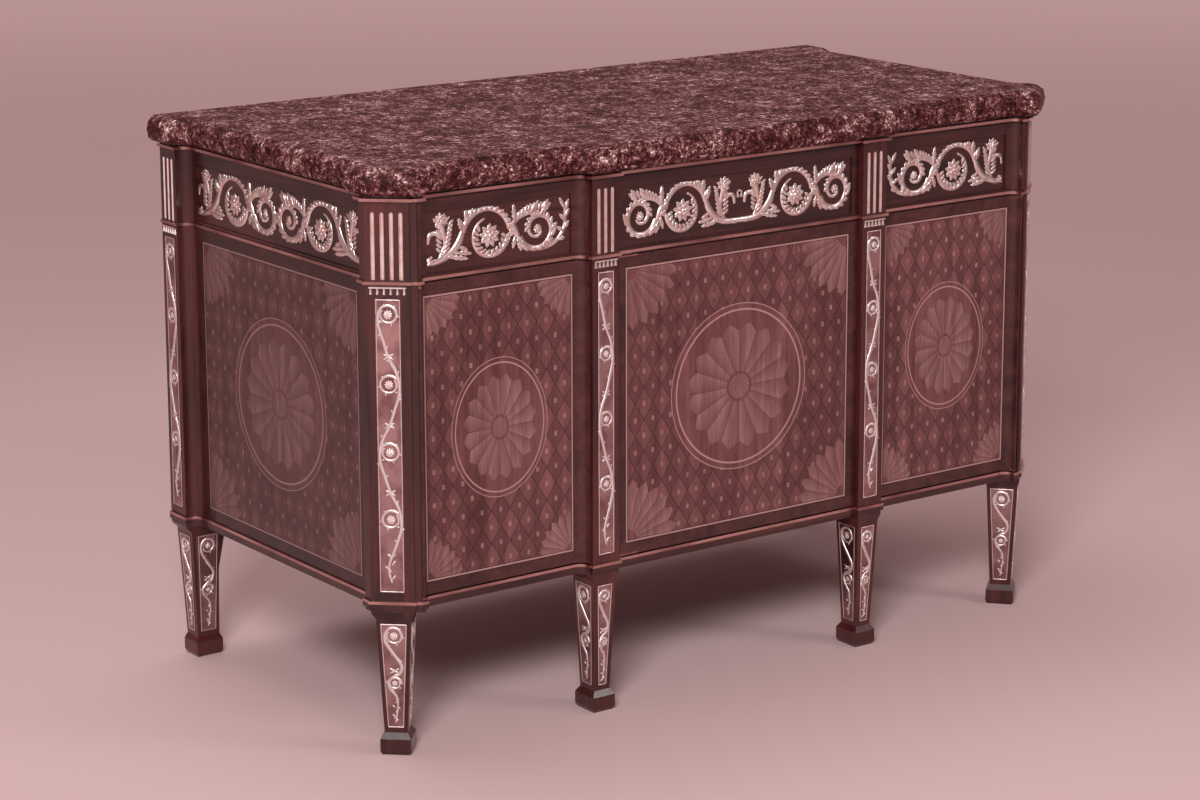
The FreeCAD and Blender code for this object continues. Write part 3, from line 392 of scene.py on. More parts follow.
class Effects:
    """Shader groups that several finishes share, each built once."""

    def __init__(self) -> None:
        """Builds the groups."""
        self.grain = self.build_grain()
        self.wear = self.build_wear()
        self.inlay = self.build_inlay(Pattern())

    def build_grain(self) -> bpy.types.NodeTree:
        """Grain, pores and slow changes of tone in a veneer.

        Returns:
            The group.
        """
        s, given, end = new_tree("ShaderNodeTree", "veneer_grain", {
            "Place": ("Vector", None), "Stretch": ("Vector", Grain.UPRIGHT.value),
            "Dark": ("Color", (0.1, 0.1, 0.1, 1)), "Light": ("Color", (0.3, 0.3, 0.3, 1)),
            "Figure": ("Float", 38.0), "Low Gloss": ("Float", 0.4), "High Gloss": ("Float", 0.25)},
            {"Color": "Color", "Roughness": "Float", "Height": "Float"})
        place, stretch, dark, light, scale, low, high = given.values()
        drawn = s.pick(s.vector("MULTIPLY", place, stretch))
        figure = s.pick(s.noise(drawn, scale=scale, detail=6.0, Distortion=0.7))
        stripe = s.pick(s.noise(drawn, scale=130.0, detail=3.0, Distortion=0.2))
        pores = s.pick(s.noise(drawn, scale=460.0, detail=3.0))
        slow = s.pick(s.noise(place, scale=5.0, detail=2.0))
        share = s.span(figure * 0.5 + slow * 0.28 + stripe * 0.22, low=0.38, high=0.64)
        pore = s.span(pores, low=0.36, high=0.47, to_low=0.7, to_high=1.0)
        shade = s.out("ShaderNodeCombineColor", pore, pore, pore)
        s.fill(end, Color=s.mix(1.0, s.mix(share, dark, light), shade, "MULTIPLY"),
               Roughness=low + share * (high - low), Height=pores)
        return s.tree

    def build_wear(self) -> bpy.types.NodeTree:
        """Matt and tarnished patches on burnished metal, with fine marks.

        Returns:
            The group.
        """
        s, given, end = new_tree("ShaderNodeTree", "metal_wear", {
            "Place": ("Vector", None), "Bright": ("Color", (0.8, 0.8, 0.8, 1)), "Shade": ("Color", (0.4, 0.4, 0.4, 1)),
            "Roughness": ("Float", 0.28), "Spread": ("Float", 0.18), "Patch": ("Float", 60.0)},
            {"Color": "Color", "Roughness": "Float", "Height": "Float"})
        place, bright, shade, roughness, spread, patch = given.values()
        share = s.span(s.pick(s.noise(place, scale=patch, detail=4.0)), low=0.4, high=0.68)
        s.fill(end, Color=s.mix(share, bright, shade), Roughness=roughness + share * spread,
               Height=s.pick(s.noise(place, scale=900.0, detail=2.0)))
        return s.tree

    def build_inlay(self, cut: Pattern) -> bpy.types.NodeTree:
        """Banded border, stringing, lozenge parquetry, a fan oval and quarter fans, as masks over a panel.

        Args:
            cut: sizes of the inlay.

        Returns:
            The group.
        """
        s, given, end = new_tree("ShaderNodeTree", "inlay_masks", {
            "Across": ("Float", 0.0), "Up": ("Float", 0.0), "Half Width": ("Float", 0.2), "Half Height": ("Float", 0.2),
            "Band": ("Float", 0.02), "Lozenge": ("Float", 0.03), "Oval": ("Float", 0.4)},
            {mask: "Float" for mask in ("Band", "String", "Ink", "Cells", "Motif", "Scorch")})
        across, up, half_width, half_height, band, unit, size = given.values()

        from_side, from_end = half_width - abs(across), half_height - abs(up)
        edge = from_side.do("MINIMUM", from_end)
        in_band = edge < band
        ink = (edge.near(band - cut.outer_ink[0], cut.outer_ink[1])
               | edge.near(band + cut.inner_ink[0], cut.inner_ink[1]))

        lean, rise = across / unit, up / (unit * cut.lozenge_slope)
        one, two = lean + rise, lean - rise
        lattice = (one.fold() < cut.lattice_half) | (two.fold() < cut.lattice_half)
        dots = (0.5 - one.fold()) + (0.5 - two.fold()) < cut.dot
        cells = (one.do("FLOOR") + two.do("FLOOR")).do("FLOORED_MODULO", 2.0)

        short = half_width.do("MINIMUM", half_height)
        oval_x = across / ((half_width * cut.oval_across[0] + short * cut.oval_across[1]) * size)
        oval_y = up / ((half_height * cut.oval_up[0] + short * cut.oval_up[1]) * size)
        far = oval_x.hypot(oval_y)
        turn = oval_y.do("ARCTAN2", oval_x) * (cut.petals / math.tau)
        swell = turn.fold()
        petal = (far < swell * cut.petal_swell + cut.petal_reach) & (swell > cut.petal_gap) & (far > cut.petal_foot)
        rim = far.near(1.0, cut.rim_half) | far.near(cut.outer_rim, cut.outer_rim_half)

        corner_x, corner_y = from_side - band, from_end - band
        corner = corner_x.hypot(corner_y) / (short * cut.corner_size)
        ray = corner_y.do("ARCTAN2", corner_x) * (cut.corner_rays / math.pi)
        quarter = corner < ray.fold() * cut.corner_swell + cut.corner_reach
        fan = quarter & (ray.fold() > cut.corner_gap) & (corner > cut.petal_foot)

        ground = ~in_band & ~((far < cut.outer_rim) | quarter)
        s.fill(end, Band=in_band, String=edge.near(band, cut.string_half) | (rim & ~in_band),
               Ink=ink | (lattice & ground), Cells=cells & ground,
               Motif=(petal | (far < cut.button) | fan | (dots & ground)) & ~in_band,
               Scorch=((far < 1.0) & turn.do("FRACT")) | (quarter & ray.do("FRACT")))
        return s.tree


@dataclass(frozen=True)
class Polished:
    """Shared start of a material: a Principled shader and the point being shaded."""

    name: str
    effects: Effects

    def start(self) -> tuple[bpy.types.Material, Sketch, bpy.types.Node, bpy.types.NodeSocket]:
        """Starts the material.

        Returns:
            The material, a sketch on it, its shader and its Object coordinates.
        """
        material = bpy.data.materials.new(self.name)
        material.use_nodes = True
        sketch = Sketch(material.node_tree)
        shader = material.node_tree.nodes["Principled BSDF"]
        return material, sketch, shader, sketch.put("ShaderNodeTexCoord").outputs["Object"]

    def use(self, sketch: Sketch, tree: bpy.types.NodeTree, **inputs: Feed) -> bpy.types.Node:
        """Puts a shared group into the material, with its inputs named as in Sketch.fill."""
        return sketch.put("ShaderNodeGroup", settings={"node_tree": tree}, **inputs)


@dataclass(frozen=True)
class Veneer(Polished):
    """French polished veneer."""

    dark: Colour
    light: Colour
    grain: Grain = Grain.UPRIGHT
    roughness: float = 0.3
    coat: float = 0.32

    def build(self) -> bpy.types.Material:
        """Makes the material.

        Returns:
            The material.
        """
        material, sketch, shader, place = self.start()
        wood = self.use(sketch, self.effects.grain, Place=place, Stretch=self.grain.value, Dark=self.dark,
                        Light=self.light, Low_Gloss=self.roughness + 0.07, High_Gloss=self.roughness - 0.04)
        sketch.fill(shader, Base_Color=wood.outputs["Color"], Roughness=wood.outputs["Roughness"],
                    Specular_IOR_Level=0.4, Coat_Weight=self.coat, Coat_Roughness=0.12,
                    Normal=sketch.bump(wood.outputs["Height"], strength=0.1, distance=0.0004))
        return material


@dataclass(frozen=True)
class Marquetry(Polished):
    """Panel of inlaid veneers: cross-banded border, stringing, lozenges, a fan oval and quarter fans."""

    low: tuple
    high: tuple
    sideways: bool = False
    # share of light kept in the veneer colours: a darker tone on the doors, painted shade on the side panels
    depth: float = 1.0
    band: float = 0.021
    lozenge: float = 0.034
    oval: float = 0.52
    front_share: float = 0.4

    def tone(self, red: float, green: float, blue: float) -> Colour:
        """A veneer colour, darkened by the panel's share, which on the side panels is painted shade."""
        return scaled(linear(red, green, blue), self.depth)

    def wood(self, sketch: Sketch, place: bpy.types.NodeSocket, dark: tuple, light: tuple, grain: Grain = Grain.UPRIGHT,
             **more: Feed) -> bpy.types.Node:
        """Adds the grain of one of the veneers.

        Args:
            sketch: the sketch on the material.
            place: the point being shaded.
            dark: dark tone, from 0 to 255.
            light: light tone, from 0 to 255.
            grain: direction of the grain.
            more: other inputs of the group.

        Returns:
            The group's node.
        """
        return self.use(sketch, self.effects.grain, Place=place, Stretch=grain.value, Dark=self.tone(*dark),
                        Light=self.tone(*light), Low_Gloss=0.36, High_Gloss=0.26, **more)

    def build(self) -> bpy.types.Material:
        """Makes the material.

        Returns:
            The material.
        """
        material, sketch, shader, place = self.start()
        point = sketch.put("ShaderNodeSeparateXYZ", place)
        normal = sketch.put("ShaderNodeSeparateXYZ", sketch.put("ShaderNodeTexCoord").outputs["Normal"])
        axis, depth_axis = (1, 0) if self.sideways else (0, 1)
        middle = [(a + b) / 2 for a, b in zip(self.low, self.high)]
        outward = 1.0 if self.sideways and middle[0] > 0 else -1.0
        face = sketch.pick(normal, depth_axis) * outward > self.front_share
        inlay = self.use(sketch, self.effects.inlay, Across=sketch.pick(point, axis) - middle[axis],
                         Up=sketch.pick(point, 2) - middle[2], Half_Width=(self.high[axis] - self.low[axis]) / 2,
                         Half_Height=(self.high[2] - self.low[2]) / 2, Band=self.band, Lozenge=self.lozenge,
                         Oval=self.oval)
        ground = self.wood(sketch, place, (100, 52, 52), (146, 92, 92))
        cross = self.wood(sketch, place, (56, 24, 23), (98, 52, 50), Grain.BURR, Figure=60.0).outputs["Color"]
        box = self.wood(sketch, place, (146, 98, 96), (186, 138, 134), Figure=70.0).outputs["Color"]
        scorched = sketch.mix(sketch.pick(inlay, "Scorch") * 0.55, box, self.tone(92, 44, 41))
        colour = ground.outputs["Color"]
        for mask, share, layer in (("Cells", 0.42, cross), ("Motif", 0.9, scorched), ("Band", 1.0, cross),
                                   ("Ink", 0.85, linear(40, 16, 15)), ("String", 0.8, self.tone(206, 158, 152))):
            colour = sketch.mix(sketch.pick(inlay, mask) * share, colour, layer)
        sketch.fill(shader, Base_Color=sketch.mix(face, cross, colour), Roughness=ground.outputs["Roughness"],
                    Specular_IOR_Level=0.35, Coat_Weight=0.22, Coat_Roughness=0.14,
                    Normal=sketch.bump(ground.outputs["Height"], strength=0.08, distance=0.0004))
        return material


@dataclass(frozen=True)
class Gilding(Polished):
    """Metal with matt, tarnished patches spread at random over a burnished ground."""

    bright: Colour
    shade: Colour
    roughness: float = 0.28
    patch: float = 60.0
    marks: float = 0.06

    def build(self) -> bpy.types.Material:
        """Makes the material.

        Returns:
            The material.
        """
        material, sketch, shader, place = self.start()
        wear = self.use(sketch, self.effects.wear, Place=place, Bright=self.bright, Shade=self.shade,
                        Roughness=self.roughness, Patch=self.patch)
        sketch.fill(shader, Base_Color=wear.outputs["Color"], Metallic=1.0, Roughness=wear.outputs["Roughness"],
                    Normal=sketch.bump(wear.outputs["Height"], self.marks, distance=0.0003))
        return material


@dataclass(frozen=True)
class Breccia(Polished):
    """Polished marble of small fragments in a darker ground, with pale flecks."""

    def build(self) -> bpy.types.Material:
        """Makes the material.

        Returns:
            The material.
        """
        material, sketch, shader, place = self.start()
        patches = sketch.noise(place, scale=34.0, detail=5.0)
        drift = sketch.pick(patches)
        push = sketch.vector("SCALE", Vector=patches.outputs[1], Scale=0.02).outputs[0]
        moved = sketch.vector("ADD", place, push).outputs[0]
        coarse = sketch.pick(sketch.noise(moved, scale=115.0, detail=7.0, Roughness=0.74))
        grit = sketch.pick(sketch.noise(place, scale=330.0, detail=4.0, Roughness=0.75))
        chips = sketch.put("ShaderNodeTexVoronoi", Vector=moved, Scale=120.0).outputs["Distance"]
        tone = coarse * 0.48 + grit * 0.34 + drift * 0.18
        colour = sketch.ramp(tone, [(0.43, (34, 9, 10)), (0.475, (64, 25, 26)), (0.52, (97, 50, 51)),
                                    (0.56, (160, 112, 110)), (0.605, (254, 232, 228))])
        chip = sketch.span(chips, low=0.12, high=0.22, to_low=0.7, to_high=0.0)
        fleck = chip * sketch.span(drift, low=0.52, high=0.64)
        sketch.fill(shader, Base_Color=sketch.mix(fleck, colour, linear(232, 196, 190)),
                    Roughness=sketch.span(tone, low=0.42, high=0.58, to_low=0.7, to_high=0.45),
                    Specular_IOR_Level=0.12,
                    Normal=sketch.bump(grit, strength=0.1, distance=0.0003))
        return material


@dataclass(frozen=True)
class Plaster(Polished):
    """Matt floor and backdrop, with a painted glow that camera and glossy rays see, brighter far from the cabinet."""

    colour: Colour
    painted_glow: float = 0.36
    cloud_shade: float = 0.97
    glow_from: float = 2.6
    glow_to: float = 8.5

    def build(self) -> bpy.types.Material:
        """Makes the material, whose painted glow makes it show a little brighter far from the cabinet.

        Returns:
            The material.
        """
        material, sketch, shader, place = self.start()
        far = sketch.pick(sketch.vector("LENGTH", place), "Value")
        path = sketch.put("ShaderNodeLightPath")
        seen = sketch.pick(path, "Is Camera Ray") | sketch.pick(path, "Is Glossy Ray")
        cloud = sketch.pick(sketch.noise(place, scale=0.8, detail=2.0))
        # painted glow: emission seen only by camera and glossy rays, rising with distance from the cabinet
        sketch.fill(shader, Base_Color=sketch.mix(cloud, scaled(self.colour, self.cloud_shade), self.colour),
                    Roughness=0.8, Emission_Color=self.colour,
                    Emission_Strength=seen * sketch.span(far, self.glow_from, self.glow_to, 0.0, self.painted_glow))
        return material


def polar(start: tuple, reach: float, angle: float) -> tuple[float, float]:
    """The point at a distance from another, in a direction given in radians."""
    return start[0] + reach * math.cos(angle), start[1] + reach * math.sin(angle)


def arc(middle: tuple, near: float, far: float, turns: tuple, thick: tuple, step: float = 9.0) -> list[tuple]:
    """Points along an arc or spiral.

    Args:
        middle: centre of the arc.
        near: distance from the centre at the start.
        far: distance from the centre at the end.
        turns: angles of the start and the end, in degrees.
        thick: half width at the start and at the end.
        step: angle from one point to the next, in degrees.

    Returns:
        One (along, up, half width) for each point.
    """
    count = max(2, int(abs(turns[1] - turns[0]) / step))
    points = []
    for i in range(count + 1):
        reach, turn, half = (a + (b - a) * (i / count) for a, b in ((near, far), turns, thick))
        points.append((*polar(middle, reach, math.radians(turn)), half))
    return points


def flow(marks: list[tuple], steps: int = 6) -> list[tuple]:
    """A smooth line through marks of any number of values.

    Args:
        marks: the marks that the line passes.
        steps: points from one mark to the next.

    Returns:
        The points of the line, ends included.
    """
    line = []
    for i in range(len(marks) - 1):
        a, b, c, d = marks[max(i - 1, 0)], marks[i], marks[i + 1], marks[min(i + 2, len(marks) - 1)]
        for k in range(steps):
            t = k / steps
            line.append(tuple(0.5 * (2 * q + (r - p) * t + (2 * p - 5 * q + 4 * r - s) * t * t
                                     + (3 * q - p - 3 * r + s) * t ** 3) for p, q, r, s in zip(a, b, c, d)))
    line.append(marks[-1])
    return line


def paint(mesh: bpy.types.Mesh, finish: bpy.types.Material) -> None:
    """Gives a mesh one finish."""
    mesh.materials.clear()
    mesh.materials.append(finish)


class Growth:
    """Geometry Nodes that lay stems along lines and set leaves and petals on points."""

    def __init__(self) -> None:
        """Builds the trees and the small shapes that they repeat."""
        self.stem_tree = self.build_stem_tree()
        self.scatter_tree = self.build_scatter_tree()
        self.ring_tree = self.build_ring_tree()
        self.moulding = show("stem_section", self.section())
        lobes = (0.16, 0.62, 0.46, 0.95, 0.62, 1.0, 0.55, 0.62, 0.05)
        self.leaf = show("leaf_shape", self.blade(lobes, bend=0.16, curl=0.3))
        self.petal = show("petal_shape", self.blade((0.25, 0.7, 1.0, 0.72, 0.05), bend=0.0, curl=0.35))
        self.rosette = show("rosette_shape", self.flower(outer=9, inner=5))
        self.blossom = show("blossom_shape", self.flower(outer=6, inner=0))

    def tidy_away(self) -> None:
        """Removes the shapes that the trees repeat."""
        for shape in (self.moulding, self.leaf, self.petal, self.rosette, self.blossom):
            bpy.data.objects.remove(shape)

    def section(self) -> bpy.types.Mesh:
        """Cross section of a stem: a round back with a groove along it, and a flat foot below.

        Returns:
            The mesh.
        """
        rays = [(a, 0.74 if a == 90 else 1.0) for a in (-20, 15, 45, 72, 90, 108, 135, 165, 200)]
        points = [(math.cos(math.radians(a)) * r, math.sin(math.radians(a)) * r * 0.95, 0.0) for a, r in rays]
        return solid("stem_section", points, [(i, (i + 1) % len(points)) for i in range(len(points))], [])

    def blade(self, widths: tuple, bend: float, curl: float) -> bpy.types.Mesh:
        """A closed leaf of unit length that lies along X.

        Args:
            widths: half width at each ring from foot to tip, lobes included.
            bend: how far the tip lies to one side.
            curl: how far the tip rises.

        Returns:
            The mesh.
        """
        verts, faces, last = [], [], len(widths) - 1
        for i, width in enumerate(widths):
            t = i / last
            side, crown = bend * t * t, 0.35 + 0.65 * math.sin(math.pi * min(1.0, 0.15 + t))
            for s, high in ((-1.0, 0.0), (-0.55, 0.8), (0.0, 0.42), (0.55, 0.8), (1.0, 0.0), (0.0, -0.4)):
                lift = high * crown * (1.0 if width > 0.1 else 0.5) + (curl * t * t if high >= 0 else 0.0)
                verts.append((t, side + s * width, lift))
        for i in range(last):
            for k in range(6):
                faces.append((6 * i + k, 6 * i + (k + 1) % 6, 6 * i + 6 + (k + 1) % 6, 6 * i + 6 + k))
        faces += [tuple(range(6)), tuple(range(6 * last + 5, 6 * last - 1, -1))]
        return solid("blade", verts, [], faces)

    def flower(self, outer: int, inner: int) -> bpy.types.Mesh:
        """A flower of unit radius: one or two rings of petals round a button.

        Args:
            outer: petals in the outer ring.
            inner: petals in the inner ring, or 0 for none.

        Returns:
            The mesh.
        """
        rings = [(outer, 0.14, 0.86, 0.3, 0.24, Matrix.Identity(4)),
                 (inner, 0.1, 0.44, 0.24, 0.3, Matrix.Translation((0, 0, 0.12)) @ Matrix.Rotation(0.4, 4, "Z"))]
        parts = [(self.grow(None, self.ring_tree, Petal=self.petal, Count=count, Start=start, Length=length,
                            Half=half, Rise=rise), place) for count, start, length, half, rise, place in rings if count]
        dome = bmesh.new()
        bmesh.ops.create_uvsphere(dome, u_segments=10, v_segments=6, radius=0.21)
        parts.append((settle("button", dome), Matrix.Translation((0, 0, 0.2))))
        return self.weld("flower", parts)

    def tree(self, name: str, **inputs: tuple) -> tuple:
        """Starts a tree whose inputs lie between the geometry and the material, as new_tree does."""
        inputs = {"Geometry": ("Geometry", None), **inputs, "Material": ("Material", None)}
        return new_tree("GeometryNodeTree", name, inputs, {"Geometry": "Geometry"})

    def attribute(self, s: Sketch, name: str, kind: str) -> Value:
        """The value of a kind that every point carries under a name."""
        node = s.put("GeometryNodeInputNamedAttribute", settings={"data_type": kind}, Name=name)
        return s.pick(node, "Attribute")

    def repeat(self, s: Sketch, points: Value, shape: Value, turn: Value, size: Value) -> Value:
        """Sets a shape on points.

        Args:
            s: sketch on the tree.
            points: the points.
            shape: the object that is repeated.
            turn: its turn about Z at each point.
            size: its size at each point.

        Returns:
            The placed shapes.
        """
        spin = s.out("FunctionNodeEulerToRotation", Euler=s.out("ShaderNodeCombineXYZ", Z=turn))
        model = s.put("GeometryNodeObjectInfo", Object=shape).outputs["Geometry"]
        return s.out("GeometryNodeInstanceOnPoints", Points=points, Instance=model, Rotation=spin, Scale=size)

    def finish_tree(self, s: Sketch, shape: Value, given: dict, end: bpy.types.Node) -> bpy.types.NodeTree:
        """Ends a tree in plain geometry that carries its material.

        Args:
            s: sketch on the tree.
            shape: what the tree has made.
            given: inputs of the tree.
            end: its output node.

        Returns:
            The tree.
        """
        real = s.out("GeometryNodeRealizeInstances", Geometry=shape)
        s.fill(end, Geometry=s.out("GeometryNodeSetMaterial", Geometry=real, Material=given["Material"]))
        return s.tree

    def build_stem_tree(self) -> bpy.types.NodeTree:
        """Sweeps a section along lines, as thick as each point says.

        Returns:
            The tree.
        """
        s, given, end = self.tree("stems_along_lines", Section=("Object", None))
        line = s.out("GeometryNodeMeshToCurve", Mesh=given["Geometry"])
        upright = s.out("GeometryNodeSetCurveNormal", settings={"mode": "Z_UP"}, Curve=line)
        shape = s.put("GeometryNodeObjectInfo", Object=given["Section"]).outputs["Geometry"]
        profile = s.out("GeometryNodeMeshToCurve", Mesh=shape)
        girth = self.attribute(s, "girth", "FLOAT")
        stem = s.out("GeometryNodeCurveToMesh", Curve=upright, Profile_Curve=profile, Scale=girth, Fill_Caps=True)
        return self.finish_tree(s, stem, given, end)

    def build_scatter_tree(self) -> bpy.types.NodeTree:
        """Sets one shape on every point, turned and sized as each point says.

        Returns:
            The tree.
        """
        s, given, end = self.tree("shapes_on_points", Shape=("Object", None))
        turn, size = self.attribute(s, "turn", "FLOAT"), self.attribute(s, "size", "FLOAT_VECTOR")
        return self.finish_tree(s, self.repeat(s, given["Geometry"], given["Shape"], turn, size), given, end)

    def build_ring_tree(self) -> bpy.types.NodeTree:
        """Sets petals round a centre.

        Returns:
            The tree.
        """
        s, given, end = self.tree("petals_in_a_ring", Petal=("Object", None), Count=("Int", 8), Start=("Float", 0.1),
                                  Length=("Float", 0.9), Half=("Float", 0.3), Rise=("Float", 0.3))
        ring = s.out("GeometryNodeMeshCircle", Vertices=given["Count"], Radius=given["Start"])
        turn = s.out("GeometryNodeInputIndex") * math.tau / given["Count"]
        size = s.out("ShaderNodeCombineXYZ", given["Length"], given["Half"], given["Rise"])
        return self.finish_tree(s, self.repeat(s, ring, given["Petal"], turn, size), given, end)

    def grow(self, seed: bpy.types.Mesh | None, tree: bpy.types.NodeTree, **values: Any) -> bpy.types.Mesh:
        """Runs a tree once.

        Args:
            seed: mesh that the tree starts from, or none.
            tree: the tree.
            values: a value for each named input.

        Returns:
            The plain mesh that the tree makes.
        """
        carrier = show("seed", seed or bpy.data.meshes.new("seed"))
        modifier = carrier.modifiers.new("growth", "NODES")
        modifier.node_group = tree
        for item in tree.interface.items_tree:
            if item.item_type == "SOCKET" and item.in_out == "INPUT" and item.name in values:
                modifier[item.identifier] = values[item.name]
        graph = bpy.context.evaluated_depsgraph_get()
        mesh = bpy.data.meshes.new_from_object(carrier.evaluated_get(graph))
        carrier.modifiers.clear()
        bpy.data.objects.remove(carrier)
        return mesh

    def weld(self, name: str, parts: list[tuple[bpy.types.Mesh, Matrix]]) -> bpy.types.Mesh:
        """Joins placed meshes into one, with every closed shape facing outwards.

        Args:
            name: name of the mesh.
            parts: each mesh with its place.

        Returns:
            The joined mesh.
        """
        joined = bmesh.new()
        for mesh, place in parts:
            copy = mesh.copy()
            copy.transform(place)
            joined.from_mesh(copy)
            bpy.data.meshes.remove(copy)
        bmesh.ops.recalc_face_normals(joined, faces=joined.faces)
        return settle(name, joined)


@dataclass
class Relief:
    """Foliage laid on a flat ground: X along it, Y up it and Z out of it, in metres."""

    strokes: list = field(default_factory=list)
    leaves: list = field(default_factory=list)
    rosettes: list = field(default_factory=list)
    blossoms: list = field(default_factory=list)

    def leaf(self, foot: tuple, tip: tuple, half: float, bend: Bend = Bend.LEFT, rise: float = 0.6) -> None:
        """Adds one leaf.

        Args:
            foot: where it starts.
            tip: where it ends.
            half: its half width.
            bend: the side to which it bends.
            rise: its height as a share of its half width.
        """
        run, climb = tip[0] - foot[0], tip[1] - foot[1]
        self.leaves.append((*foot, math.atan2(climb, run), math.hypot(run, climb), half * bend.value, abs(half) * rise))

    def seed(self, points: list[tuple]) -> bpy.types.Mesh:
        """Makes loose points for the trees.

        Args:
            points: x, y and turn of each, and its size along X, Y and Z.

        Returns:
            A mesh whose points carry their turn and size.
        """
        mesh = solid("points", [(p[0], p[1], 0.0) for p in points], [], [])
        turn = mesh.attributes.new("turn", "FLOAT", "POINT")
        size = mesh.attributes.new("size", "FLOAT_VECTOR", "POINT")
        for i, point in enumerate(points):
            turn.data[i].value, size.data[i].vector = point[2], point[3:]
        return mesh

    def lines(self) -> bpy.types.Mesh:
        """Makes the lines of the stems.

        Returns:
            A mesh whose points carry the half width of the stem.
        """
        points, edges = [], []
        for stroke in self.strokes:
            edges += [(i, i + 1) for i in range(len(points), len(points) + len(stroke) - 1)]
            points += stroke
        mesh = solid("lines", [(x, y, 0.0) for x, y, _ in points], edges, [])
        thick = mesh.attributes.new("girth", "FLOAT", "POINT")
        for i, (_, _, girth) in enumerate(points):
            thick.data[i].value = girth
        return mesh

    def cast(self, growth: Growth, finish: bpy.types.Material) -> bpy.types.Mesh:
        """Casts the foliage in one piece.

        Args:
            growth: the trees and the shapes that they repeat.
            finish: material of the piece.

        Returns:
            The mesh.
        """
        kinds = ((self.leaves, growth.leaf), (self.rosettes, growth.rosette), (self.blossoms, growth.blossom))
        parts = [growth.grow(self.lines(), growth.stem_tree, Section=growth.moulding, Material=finish)]
        parts += [growth.grow(self.seed(points), growth.scatter_tree, Shape=shape, Material=finish)
                  for points, shape in kinds if points]
        return growth.weld("relief", [(part, Matrix.Identity(4)) for part in parts])


def frame_at(origin: Vector, along: Vector, up: Vector, out: Vector) -> Matrix:
    """Place of a relief.

    Args:
        origin: where its own origin goes.
        along: direction of its X.
        up: direction of its Y.
        out: direction of its Z.

    Returns:
        The matrix that carries it there.
    """
    place = Matrix.Identity(4)
    for column, axis in enumerate((along, up, out, origin)):
        for row in range(3):
            place[row][column] = axis[row]
    return place


@dataclass
class Mounts:
    """Gilt foliage on the cabinet: the trees that grow it and its finish."""

    growth: Growth
    finish: bpy.types.Material

    def mount(self, name: str, reliefs: list[tuple[Relief, list[Matrix]]], body: str, stands_for: tuple = ()) -> None:
        """Makes a finished gilt piece, placed in its mesh, and ties it to its body.

        Args:
            name: name of the piece.
            reliefs: each relief with its places.
            body: the body that it moves with.
            stands_for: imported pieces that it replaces.
        """
        parts = []
        for relief, places in reliefs:
            shape = relief.cast(self.growth, self.finish)
            parts += [(shape, place) for place in places]
        mesh = self.growth.weld(name, parts)
        paint(mesh, self.finish)
        for face in mesh.polygons:
            face.material_index = 0
            face.use_smooth = True
        piece = show(name, mesh)
        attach(piece, body)
        if stands_for:
            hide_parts(*stands_for)
        LOG.info("%s: %d faces", name, len(mesh.polygons))


